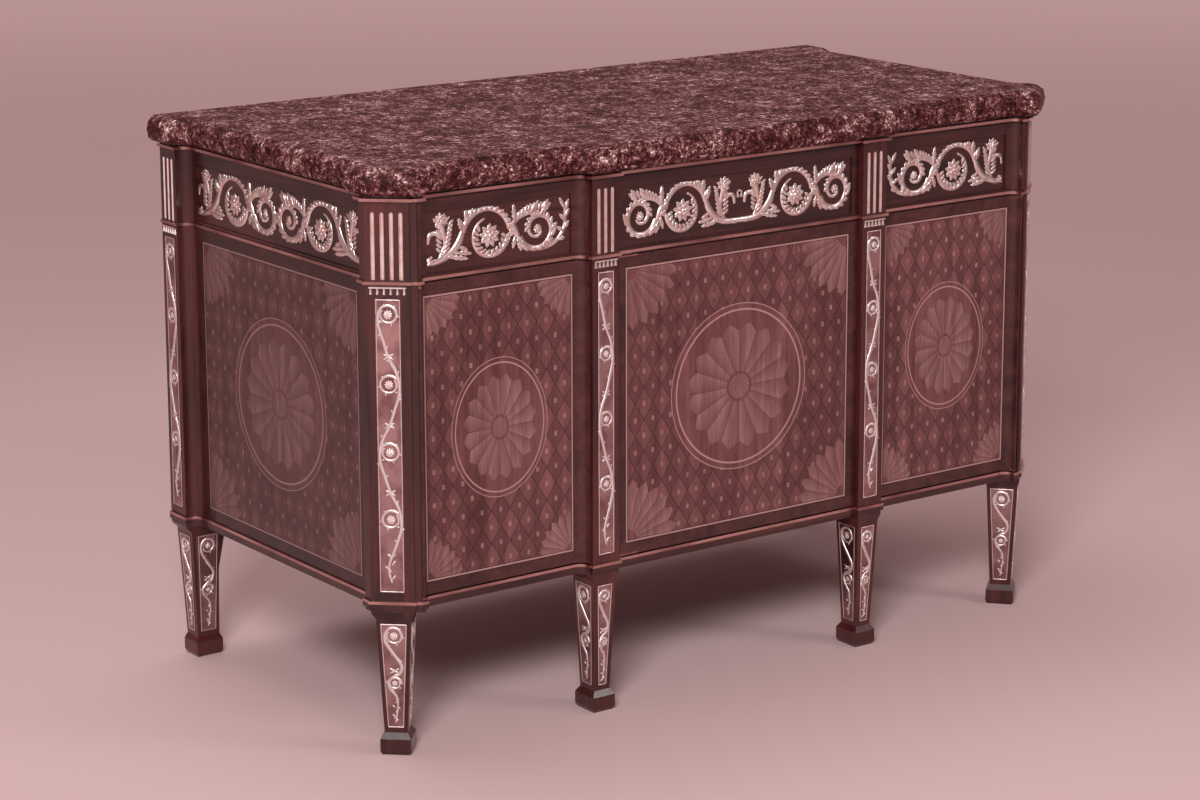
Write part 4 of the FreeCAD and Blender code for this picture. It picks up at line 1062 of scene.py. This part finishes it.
@dataclass
class Scrolls(Mounts):
    """Gilt acanthus scrolls on the frieze, drawn in shares of the scroll's height and laid in metres."""

    height: float = 0.079
    foot: float = 0.741
    drawer_start: float = 0.579045
    drawer_unit: float = 0.080257
    drawer_ground: float = -0.2922
    centre_unit: float = 0.07549
    centre_ground: float = -0.3062
    side_start: float = 0.086445
    side_unit: float = 0.084915
    side_ground: float = 0.6368
    side_middle: float = 0.338945
    front: float = -0.319
    fullness: float = 1.3
    leafage: float = 1.45
    lowest: float = 0.02
    highest: float = 0.985

    def stems(self, tail: bool, middle: bool) -> list[list[tuple]]:
        """Stems of one scroll.

        Args:
            tail: whether the far end turns up in a tail.
            middle: whether it starts as half of a middle stem.

        Returns:
            The (along, up, half width) points of each stem, in shares.
        """
        start = [(0.0, 0.08, 0.045)] if middle else [(0.22, 0.17, 0.02), (0.14, 0.12, 0.03), (0.18, 0.05, 0.035)]
        found = [flow(start + [(0.38, 0.09, 0.05), (0.62, 0.19, 0.055), (0.80, 0.38, 0.055), (0.875, 0.56, 0.04)]),
                 arc((1.40, 0.42), 0.53, 0.53, (165, 10), (0.045, 0.036)),
                 arc((1.49, 0.42), 0.40, 0.36, (-5, -250), (0.045, 0.016)),
                 arc((2.56, 0.43), 0.42, 0.10, (195, 690), (0.05, 0.024), step=12.0),
                 flow([(1.86, 0.36, 0.03), (1.96, 0.41, 0.035), (2.10, 0.43, 0.035)]),
                 flow([(1.98, 0.57, 0.035), (2.16, 0.71, 0.035), (2.38, 0.76, 0.03), (2.60, 0.70, 0.014)]),
                 flow([(1.91, 0.61, 0.035), (2.03, 0.50, 0.055), (2.14, 0.28, 0.03)]),
                 flow([(0.38, 0.11, 0.03), (0.50, 0.37, 0.03), (0.46, 0.60, 0.04), (0.41, 0.75, 0.055)]),
                 flow([(0.46, 0.50, 0.028), (0.33, 0.60, 0.034), (0.17, 0.59, 0.034), (0.13, 0.42, 0.02)])]
        if tail:
            found.append(flow([(2.52, 0.03, 0.02), (2.77, 0.06, 0.035), (2.98, 0.14, 0.04), (3.14, 0.31, 0.04),
                               (3.20, 0.52, 0.035), (3.18, 0.76, 0.02)]))
        return found

    def wreath(self, middle: tuple, first: float, step: float, feet: list[tuple], lean: float, lengths: list[float],
               half: float, bend: Bend = Bend.LEFT) -> list[tuple]:
        """Leaves round a curl.

        Args:
            middle: middle of the curl.
            first: direction of the first foot, in degrees.
            step: angle from one foot to the next.
            feet: how far each foot is from the middle, along and up.
            lean: angle from the direction of the foot to that of the leaf.
            lengths: length of each leaf.
            half: half width of the leaves.
            bend: the side to which they bend.

        Returns:
            The foot, tip, half width and bend of each leaf, in shares.
        """
        found = []
        for i, ((along, up), length) in enumerate(zip(feet, lengths)):
            angle = math.radians(first + i * step)
            foot = (middle[0] + along * math.cos(angle), middle[1] + up * math.sin(angle))
            tip = polar(foot, length, math.radians(first + i * step + lean))
            found.append((foot, (tip[0], min(self.highest, max(self.lowest, tip[1]))), half, bend))
        return found

    def leaves(self, tail: bool) -> list[tuple]:
        """Leaves of one scroll.

        Args:
            tail: whether the far end turns up in a tail.

        Returns:
            The foot, tip, half width and bend of each leaf, in shares.
        """
        inward = [(0.42 - 0.32 * (10 + i * 21) / 495,) * 2 for i in range(16)]
        crest = [0.19] * 4 + [0.13] * 7 + [0.19] * 2
        found = self.wreath((1.40, 0.42), first=158, step=-12.5, feet=[(0.52, 0.50)] * 13, lean=-42, lengths=crest,
                            half=0.042, bend=Bend.RIGHT)
        found += self.wreath((1.49, 0.42), first=-12, step=-19, feet=[(0.375, 0.375)] * 12, lean=148,
                             lengths=[0.15] * 12, half=0.036)
        found += self.wreath((2.56, 0.43), first=205, step=21, feet=inward, lean=62, lengths=[0.14] * 16, half=0.036)
        for i in range(9):
            u, v = 2.02 + i * 0.078, 0.60 + 0.16 * math.sin(math.radians(min(90.0, i * 18)))
            found.append(((u, v), (u + 0.07, v + 0.19), 0.034, Bend.RIGHT))
        for i in range(7):
            v = 0.2 + i * 0.085
            found += [((0.45 + 0.02 * i, v), (0.60 + 0.012 * i, v + 0.12), 0.032, Bend.RIGHT),
                      ((0.43, v + 0.03), (0.30, v + 0.13), 0.03, Bend.LEFT)]
        single = [(0.98, 0.72, 0.96, 0.98, 0.06), (0.86, 0.58, 0.80, 0.84, 0.05), (0.55, 0.14, 1.0, 0.04, 0.05),
                  (0.70, 0.20, 1.08, 0.13, 0.045), (0.80, 0.30, 0.99, 0.20, 0.04), (2.03, 0.60, 2.02, 0.97, 0.05),
                  (2.14, 0.26, 2.32, 0.03, 0.06), (2.10, 0.30, 2.17, 0.05, 0.05), (2.06, 0.36, 1.98, 0.12, 0.045),
                  (2.58, 0.68, 2.86, 0.90, 0.05), (2.38, 0.74, 2.58, 0.97, 0.05), (2.66, 0.76, 2.80, 0.97, 0.045),
                  (0.28, 0.12, 0.10, 0.03, 0.035), (1.05, 0.80, 1.12, 0.985, 0.05), (2.92, 0.30, 2.99, 0.52, 0.035)]
        if tail:
            single += [(3.18, 0.74, 3.06, 0.97, 0.04), (3.19, 0.72, 3.27, 0.92, 0.04), (3.19, 0.60, 3.28, 0.74, 0.04),
                       (3.20, 0.50, 3.06, 0.66, 0.04), (3.17, 0.38, 3.28, 0.50, 0.04), (3.14, 0.32, 3.00, 0.42, 0.04),
                       (3.02, 0.17, 3.18, 0.19, 0.04), (2.86, 0.09, 2.82, 0.22, 0.04), (2.70, 0.05, 2.72, 0.17, 0.04)]
        found += [(leaf[:2], leaf[2:4], leaf[4], Bend.LEFT) for leaf in single]
        return found + [((0.42, 0.74), (0.24 + 0.09 * i, 0.90 + 0.04 * math.sin(i * 0.8)), 0.03,
                         Bend.RIGHT if i > 2 else Bend.LEFT) for i in range(5)]

    def drawing(self, unit: float, tail: bool = False, middle: bool = False) -> Relief:
        """Draws one scroll.

        Args:
            unit: metres along the ground for one share.
            tail: whether the far end turns up in a tail.
            middle: whether it starts as half of a middle stem.

        Returns:
            The relief.
        """
        relief, k = Relief(), self.height
        for points in self.stems(tail, middle):
            relief.strokes.append([(u * unit, v * k, half * k * self.fullness) for u, v, half in points])
        for foot, tip, half, bend in self.leaves(tail):
            foot, tip = (foot[0] * unit, foot[1] * k), (tip[0] * unit, tip[1] * k)
            relief.leaf(foot, tip, half * k * self.leafage, bend, rise=0.8)
        for u, v, turn, radius, rise in ((1.48, 0.43, 0.2, 0.235, 0.15), (2.56, 0.43, 0.5, 0.10, 0.09),
                                         (0.41, 0.83, 0.3, 0.165, 0.10)):
            relief.rosettes.append((u * unit, v * k, turn, radius * k, radius * k, rise * k))
        return relief

    def place(self, x: float, y: float, along: tuple, out: tuple) -> Matrix:
        """Place of a scroll that starts at x and y and runs along, on a ground that faces out."""
        return frame_at(Vector((x, y, self.foot)), Vector(along), UP, Vector(out))

    def build(self) -> None:
        """Lays the scrolls on the three drawers and the two side friezes."""
        ahead = (0, -1, 0)
        for side, name in ((1.0, "left"), (-1.0, "right")):
            place = self.place(-self.drawer_start * side, self.drawer_ground, (side, 0, 0), ahead)
            self.mount("gilt_scroll_" + name, [(self.drawing(self.drawer_unit, tail=True), [place])], "drawer_" + name,
                       ("drawer_mount_" + name,))
        places = [self.place(0.0, self.centre_ground, (side, 0, 0), ahead) for side in (-1.0, 1.0)]
        self.mount("gilt_scroll_centre", [(self.drawing(self.centre_unit, middle=True), places)], "drawer_centre",
                   ("drawer_mount_centre",))
        ends = ((1.0, self.side_start), (-1.0, 2 * self.side_middle - self.side_start))
        places = [self.place(side * self.side_ground, self.front + back, (0, turn, 0), (side, 0, 0))
                  for side in (-1.0, 1.0) for turn, back in ends]
        self.mount("gilt_scrolls_side", [(self.drawing(self.side_unit), places)], "case", ("side_frieze_mounts",))


@dataclass(frozen=True)
class Plate:
    """Outer face of a metal plate: bottom middle, directions, height, and half widths at bottom and top."""

    foot: Vector
    across: Vector
    up: Vector
    out: Vector
    height: float
    low_half: float
    high_half: float


def islands(shape: bmesh.types.BMesh) -> Iterator[list]:
    """Finds the separate parts of a shape, in the order of its points, so that each run gives the same.

    Args:
        shape: the shape.

    Returns:
        The points of each part, one part after another.
    """
    left = dict.fromkeys(shape.verts)
    for first in shape.verts:
        if first in left:
            del left[first]
            island = [first]
            for vert in island:
                for other in (link.other_vert(vert) for link in vert.link_edges):
                    if other in left:
                        del left[other]
                        island.append(other)
            yield island


def outer_face(island: list, middles: list[tuple], level_reach: float = 0.002, inward: float = 0.01) -> Plate:
    """Finds the outer face of one plate.

    Args:
        island: its points.
        middles: plan middle of each post or leg that carries plates.
        level_reach: how far a point may be from the top or bottom and still belong to it.
        inward: weight of a face that looks towards the post.

    Returns:
        The face.
    """
    middle = sum((vert.co for vert in island), Vector()) / len(island)
    post = min(middles, key=lambda m: (m[0] - middle.x) ** 2 + (m[1] - middle.y) ** 2)
    away = Vector((middle.x - post[0], middle.y - post[1], 0))
    faces = dict.fromkeys(face for vert in island for face in vert.link_faces)
    biggest = max(faces, key=lambda f: f.calc_area() * (1.0 if f.normal.dot(away) > 0 else inward))
    out = biggest.normal.normalized()
    across = UP.cross(out).normalized()
    up = out.cross(across).normalized()
    levels = [vert.co.dot(up) for vert in island]
    low, high = min(levels), max(levels)
    spans = []
    for level in (low, high):
        reach = [vert.co.dot(across) for vert in island if abs(vert.co.dot(up) - level) < level_reach]
        spans.append((min(reach), max(reach)))
    foot = across * sum(spans[0]) / 2 + up * low + out * max(vert.co.dot(out) for vert in island)
    return Plate(foot, across, up, out, high - low, *((right - left) / 2 for left, right in spans))


@dataclass
class Vines(Mounts):
    """Gilt vines on the polished plates of the pilasters and legs."""

    rosette_shares: tuple = (0.948, 0.712, 0.482, 0.252)
    line_half: float = 0.0006
    line_inset: float = 0.0012
    stem_half: float = 0.0025
    leaf_lean: float = 0.75
    leaf_share: float = 0.26
    leaf_rise: float = 0.5

    def dress_stem(self, relief: Relief, line: list[tuple], gap: float, length: float) -> None:
        """Sets small leaves along a stem, on either side in turn.

        Args:
            relief: the relief that they go into.
            line: points of the stem.
            gap: distance from one leaf to the next.
            length: length of a leaf.
        """
        run, side = gap, 1.0
        for (x0, y0, _), (x1, y1, _) in zip(line, line[1:]):
            step = math.hypot(x1 - x0, y1 - y0)
            run -= step
            if run <= 0 and step > 0:
                tip = polar((x1, y1), length, math.atan2(y1 - y0, x1 - x0) + side * self.leaf_lean)
                bend = Bend.RIGHT if side > 0 else Bend.LEFT
                relief.leaf((x1, y1), tip, length * self.leaf_share, bend, self.leaf_rise)
                run, side = gap, -side

    def curl(self, relief: Relief, level: float, reach: float, side: float) -> None:
        """One curl of the stem with its flower and the small leaves round it.

        Args:
            relief: the relief that it goes into.
            level: middle of the curl up the plate.
            reach: distance from the middle to the stem.
            side: side of the plate on which the curl starts.
        """
        spiral = arc((0.0, 0.0), near=reach * 1.02, far=reach * 0.74, turns=(0, 400),
                     thick=(self.stem_half, self.stem_half * 0.5), step=14.0)
        relief.strokes.append([(side * a, level + b, girth) for a, b, girth in spiral])
        relief.rosettes.append((0.0, level, 0.3, reach * 0.5, reach * 0.5, reach * 0.34))
        for i in range(5):
            angle = math.radians(60 + i * 62)
            foot = (side * reach * 0.98 * math.cos(angle), level + reach * 0.98 * math.sin(angle))
            lean = math.atan2(foot[1] - level, foot[0]) + side * 0.9
            relief.leaf(foot, polar(foot, 0.0038, lean), half=0.0015, rise=self.leaf_rise)

    def tie(self, relief: Relief, level: float) -> None:
        """Flower and four leaves where the stem crosses the middle of the plate.

        Args:
            relief: the relief that they go into.
            level: how far up the plate they lie.
        """
        relief.blossoms.append((0.0, level, 0.0, 0.0036, 0.0036, 0.002))
        for lean in (-0.5, 0.5, math.pi - 0.5, math.pi + 0.5):
            relief.leaf((0.0, level), polar((0.0, level), 0.0085, lean), half=0.002)

    def shoots(self, relief: Relief, levels: list[float], lean: float, length: float, half: float) -> None:
        """Leaves up the middle of a plate, on either side in turn.

        Args:
            relief: the relief that they go into.
            levels: level of each leaf's foot.
            lean: angle of the leaves from upright.
            length: length of the leaves.
            half: half width of the leaves.
        """
        for i, level in enumerate(levels):
            tip = polar((0.0, level), length, math.pi / 2 + (lean if i % 2 else -lean))
            relief.leaf((0.0, level), tip, half)

    def tall(self, plate: Plate) -> Relief:
        """Vine of a pilaster: four rosettes, each in a curl of the stem that swings from side to side.

        Args:
            plate: the plate that it lies on.

        Returns:
            The relief.
        """
        relief, swing, height = Relief(), plate.low_half * 0.78, plate.height
        levels = sorted(share * height for share in self.rosette_shares)
        gap, side = levels[1] - levels[0], 1.0
        marks = [(0.0, 0.035 * height, 0.6), (-0.3 * swing, 0.09 * height, 0.8)]
        for level in levels:
            turns = [(0.55, -0.36), (1.02, -0.14), (1.02, 0.03)]
            if level is not levels[-1]:
                turns += [(0.72, 0.2), (0.0, 0.4)]
            marks += [(side * swing * share, level + rise * gap, 1.0) for share, rise in turns]
            side = -side
        line = flow([(x, y, self.stem_half * girth) for x, y, girth in marks], steps=7)
        relief.strokes.append(line)
        self.dress_stem(relief, line, gap=0.019, length=0.0068)
        for i, level in enumerate(levels):
            self.curl(relief, level, swing, -1.0 if i % 2 else 1.0)
        for low, high in zip(levels, levels[1:]):
            self.tie(relief, (low + high) / 2 - 0.1 * gap)
        self.shoots(relief, [(0.045 + 0.025 * i) * height for i in range(4)], lean=0.7, length=0.009, half=0.0022)
        self.border(relief, plate.low_half, plate.low_half, height)
        return relief

    def short(self, plate: Plate) -> Relief:
        """Vine of a leg: a curl at the top, a smaller one below the middle and a leafy tail down to the foot.

        Args:
            plate: the plate that it lies on.

        Returns:
            The relief.
        """
        relief, height = Relief(), plate.height
        top, middle = 0.885 * height, 0.43 * height
        wide, narrow = plate.high_half * 0.66, (plate.low_half + plate.high_half) * 0.5 * 0.58
        marks = [(wide, -1.02, top, 0.0, 1.0), (wide, -0.9, top, -0.07, 1.0), (wide, -0.1, top, -0.17, 1.0),
                 (wide, 0.8, top, -0.28, 1.0), (wide, 0.55, middle, 0.09, 0.9), (narrow, 0.0, middle, 0.075, 0.8),
                 (narrow, -1.0, middle, 0.02, 0.8), (narrow, -0.8, middle, -0.05, 0.8),
                 (narrow, 0.25, middle, -0.13, 0.7), (narrow, 0.4, middle, -0.22, 0.6), (narrow, 0.0, 0.0, 0.05, 0.5)]
        line = flow([(reach * share, level + rise * height, self.stem_half * girth)
                     for reach, share, level, rise, girth in marks], steps=7)
        relief.strokes.append(line)
        self.dress_stem(relief, line, gap=0.0135, length=0.0058)
        self.curl(relief, top, wide, -1.0)
        self.curl(relief, middle, narrow, 1.0)
        self.tie(relief, middle + 0.12 * height)
        self.shoots(relief, [(0.06 + 0.045 * i) * height for i in range(5)], lean=0.8, length=0.006, half=0.0018)
        self.border(relief, plate.low_half, plate.high_half, height)
        return relief

    def border(self, relief: Relief, low_half: float, high_half: float, height: float) -> None:
        """Fine raised line round a plate.

        Args:
            relief: the relief that it goes into.
            low_half: half width of the plate at its foot.
            high_half: half width of the plate at its top.
            height: height of the plate.
        """
        low, high, inset = low_half - self.line_inset, high_half - self.line_inset, self.line_inset
        corners = [(-low, inset), (low, inset), (high, height - inset), (-high, height - inset)]
        for a, b in zip(corners, corners[1:] + corners[:1]):
            between = ((a[0] + b[0]) / 2, (a[1] + b[1]) / 2)
            relief.strokes.append([(*point, self.line_half) for point in (a, between, b)])

    def build(self, nodes: dict) -> None:
        """Lays a vine on every plate.

        Args:
            nodes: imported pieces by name.
        """
        legs = [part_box(name) for name in nodes if name.startswith(("leg_", "rear_leg")) and name != "leg_plates"]
        centres = [((low[0] + high[0]) / 2, (low[1] + high[1]) / 2) for low, high in legs]
        for name, node, middles, draw in (("gilt_vines_pilaster", "pilaster_plates", [(0.0, 0.0)], self.tall),
                                          ("gilt_vines_leg", "leg_plates", centres, self.short)):
            shape, reliefs = bmesh.new(), []
            shape.from_mesh(nodes[node].data)
            bmesh.ops.remove_doubles(shape, verts=shape.verts, dist=SAME_POINT)
            for island in islands(shape):
                plate = outer_face(island, middles)
                reliefs.append((draw(plate), [frame_at(plate.foot, plate.across, plate.up, plate.out)]))
            shape.free()
            self.mount(name, reliefs, "case")


@dataclass
class Slab:
    """Marble slab with its nose rounded over."""

    node: bpy.types.Object
    finish: bpy.types.Material
    soften: float = 0.0045
    steps: int = 3
    corner: float = 14.0
    flat: float = 0.5
    large: float = 0.02

    def build(self) -> None:
        """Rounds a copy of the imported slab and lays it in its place."""
        shape = bmesh.new()
        shape.from_mesh(self.node.data)
        bmesh.ops.remove_doubles(shape, verts=shape.verts, dist=SAME_POINT)
        bmesh.ops.dissolve_limit(shape, angle_limit=math.radians(self.flat), verts=shape.verts, edges=shape.edges)
        edges = [edge for edge in shape.edges
                 if edge.is_manifold and math.degrees(edge.calc_face_angle(0.0)) > self.corner]
        bmesh.ops.bevel(shape, geom=edges, offset=self.soften, segments=self.steps, profile=0.5, affect="EDGES",
                        clamp_overlap=True)
        bmesh.ops.recalc_face_normals(shape, faces=shape.faces)
        mesh = settle("marble_slab", shape)
        mesh.materials.append(self.finish)
        for face in mesh.polygons:
            face.use_smooth = face.area < self.large
        slab = show("marble_slab", mesh)
        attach(slab, "case")
        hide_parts("marble_top")
        LOG.info("marble_slab: %d faces", len(mesh.polygons))


@dataclass(frozen=True)
class SoftBox:
    """Lamp: where it hangs, the point that it faces, its width and height, and its power in watts."""

    name: str
    place: tuple
    aim: tuple
    size: tuple
    power: float

    def hang(self) -> None:
        """Hangs the lamp."""
        light = bpy.data.lights.new(self.name, "AREA")
        light.shape = "RECTANGLE"
        light.size, light.size_y = self.size
        light.energy = self.power
        lamp = show(self.name, light)
        lamp.location = self.place
        lamp.rotation_euler = (Vector(self.aim) - Vector(self.place)).to_track_quat("-Z", "Y").to_euler()


@dataclass
class Studio:
    """Floor, backdrop, lamps and camera."""

    effects: Effects
    camera_at: tuple = (-3.04856, -4.10591, 1.68806)
    azimuth: float = 36.19
    pitch: float = 12.38
    roll: float = 0.14
    focal_pixels: float = 3184.57
    picture_width: float = 1200.0
    horizon_shift: float = -100.0
    floor_near: float = -12.0
    floor_far: float = 7.2
    floor_half: float = 14.0
    sweep: float = 1.8
    wall_top: float = 9.0
    room_light: float = 0.36

    def floor(self) -> None:
        """Lays the floor, which sweeps up into a backdrop far behind the cabinet."""
        turn = math.radians(self.azimuth)
        ahead, aside = Vector((math.sin(turn), math.cos(turn), 0)), Vector((math.cos(turn), -math.sin(turn), 0))
        rows = [(self.floor_near, 0.0), (self.floor_far, 0.0)]
        for angle in map(math.radians, range(10, 91, 10)):
            rows.append((self.floor_far + self.sweep * math.sin(angle), self.sweep - self.sweep * math.cos(angle)))
        rows.append((self.floor_far + self.sweep, self.wall_top))
        verts = [ahead * along + aside * side + UP * up for along, up in rows
                 for side in (-self.floor_half, self.floor_half)]
        faces = [(2 * i, 2 * i + 1, 2 * i + 3, 2 * i + 2) for i in range(len(rows) - 1)]
        mesh = solid("studio_floor", verts, [], faces)
        for face in mesh.polygons:
            face.use_smooth = True
        mesh.materials.append(Plaster("floor_paint", self.effects, linear(212, 182, 181)).build())
        show("studio_floor", mesh)

    def lights(self) -> None:
        """Sets the lamps and the even light of the room."""
        SoftBox("key", (-4.0, -4.2, 4.0), (0.0, 0.0, 0.5), (2.0, 1.7), 330.0).hang()
        SoftBox("fill", (2.6, -3.8, 3.3), (0.0, 0.0, 0.5), (1.4, 1.2), 40.0).hang()
        SoftBox("top", (-0.5, 1.1, 4.4), (0.0, 0.6, 0.0), (2.6, 2.2), 60.0).hang()
        world = bpy.data.worlds.new("room")
        world.use_nodes = True
        Sketch(world.node_tree).fill(world.node_tree.nodes["Background"], linear(218, 180, 179), self.room_light)
        bpy.context.scene.world = world
        bpy.context.scene.view_settings.view_transform = "Standard"

    def camera(self) -> None:
        """Places the camera at the photograph's angle."""
        data = bpy.data.cameras.new("camera")
        data.sensor_fit = "HORIZONTAL"
        data.sensor_width = 36.0
        data.lens = self.focal_pixels / self.picture_width * data.sensor_width
        data.shift_y = self.horizon_shift / self.picture_width
        data.clip_end = 100.0
        cam = show("camera", data)
        turn, dip = math.radians(self.azimuth), math.radians(self.pitch)
        ahead = Vector((math.sin(turn) * math.cos(dip), math.cos(turn) * math.cos(dip), -math.sin(dip)))
        look = ahead.to_track_quat("-Z", "Y").to_matrix() @ Matrix.Rotation(-math.radians(self.roll), 3, "Z")
        cam.rotation_euler = look.to_euler()
        cam.location = self.camera_at
        bpy.context.scene.camera = cam

    def build(self) -> None:
        """Makes the whole studio."""
        self.floor()
        self.lights()
        self.camera()
        LOG.info("studio ready")


@dataclass
class Case:
    """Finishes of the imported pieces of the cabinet."""

    nodes: dict
    effects: Effects
    gilt: bpy.types.Material
    # painted shade: the side panels' veneer colours cut to half, for the side that gets less light
    side_painted_shade: float = 0.5
    door_depth: float = 0.8

    def inlaid(self, name: str) -> bpy.types.Material:
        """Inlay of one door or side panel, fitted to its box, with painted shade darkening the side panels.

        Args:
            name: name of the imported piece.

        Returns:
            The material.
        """
        low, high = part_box(name)
        sideways = name.startswith("side_panel")
        depth = self.side_painted_shade if sideways else self.door_depth
        return Marquetry("inlaid_" + name, self.effects, tuple(low), tuple(high), sideways, depth).build()

    def build(self) -> None:
        """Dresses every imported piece."""
        shared, dark, light = self.effects, linear(38, 11, 10), linear(80, 37, 35)
        upright = Veneer("veneer_upright", shared, linear(40, 10, 9), linear(88, 38, 36)).build()
        level = Veneer("veneer_level", shared, dark, light, Grain.ALONG_X).build()
        sidelong = Veneer("veneer_sidelong", shared, dark, light, Grain.ALONG_Y).build()
        oak = Veneer("plain_oak", shared, linear(96, 62, 52), linear(150, 108, 94), Grain.ALONG_X,
                     roughness=0.55, coat=0.0).build()
        plate = Gilding("polished_plate", shared, linear(178, 146, 145), linear(134, 100, 98), roughness=0.12,
                        patch=30.0).build()
        trim = Gilding("toned_gilt", shared, linear(206, 164, 158), linear(150, 106, 102), roughness=0.2, patch=9.0,
                       marks=0.02).build()
        brass = Gilding("lock_brass", shared, linear(186, 138, 126), linear(146, 100, 92), roughness=0.32).build()
        steel = Gilding("bolt_steel", shared, linear(170, 168, 168), linear(130, 126, 126), roughness=0.3).build()
        marble = Breccia("marble", shared).build()
        looks = {("marble_top",): marble, ("gilt_flutes", "guttae", "escutcheon"): self.gilt, ("gilt_beads",): trim,
                 ("pilaster_plates", "leg_plates"): plate, ("lock_bolt",): steel, ("side_frieze",): sidelong,
                 ("pivot_sockets", "catch_springs", "lock_case", "lock_strike", "door_hardware"): brass,
                 ("drawer_front", "base_moulding", "top_board", "deck_board", "bottom_board"): level,
                 ("post_", "leg_", "foot_", "rear_leg"): upright}
        for name, node in self.nodes.items():
            if name.startswith(("door_panel", "side_panel")):
                paint(node.data, self.inlaid(name))
            else:
                paint(node.data, next((look for starts, look in looks.items() if name.startswith(starts)), oak))
        Slab(self.nodes["marble_top"], marble).build()
        LOG.info("%d packed pieces dressed", len(self.nodes))


def main() -> None:
    """Builds the looks in order."""
    logging.basicConfig(level=logging.INFO, format="%(name)s: %(message)s")
    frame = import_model()
    effects = Effects()
    Studio(effects).build()
    gilt = Gilding("gilt_bronze", effects, linear(255, 246, 242), linear(232, 198, 192), roughness=0.3).build()
    Case(frame["nodes"], effects, gilt).build()
    growth = Growth()
    Scrolls(growth, gilt).build()
    pale_gilt = Gilding("pale_gilt", effects, linear(255, 252, 250), linear(246, 220, 216), roughness=0.36,
                        marks=0.03).build()
    Vines(growth, pale_gilt).build(frame["nodes"])
    growth.tidy_away()


if __name__ == "__main__":
    main()
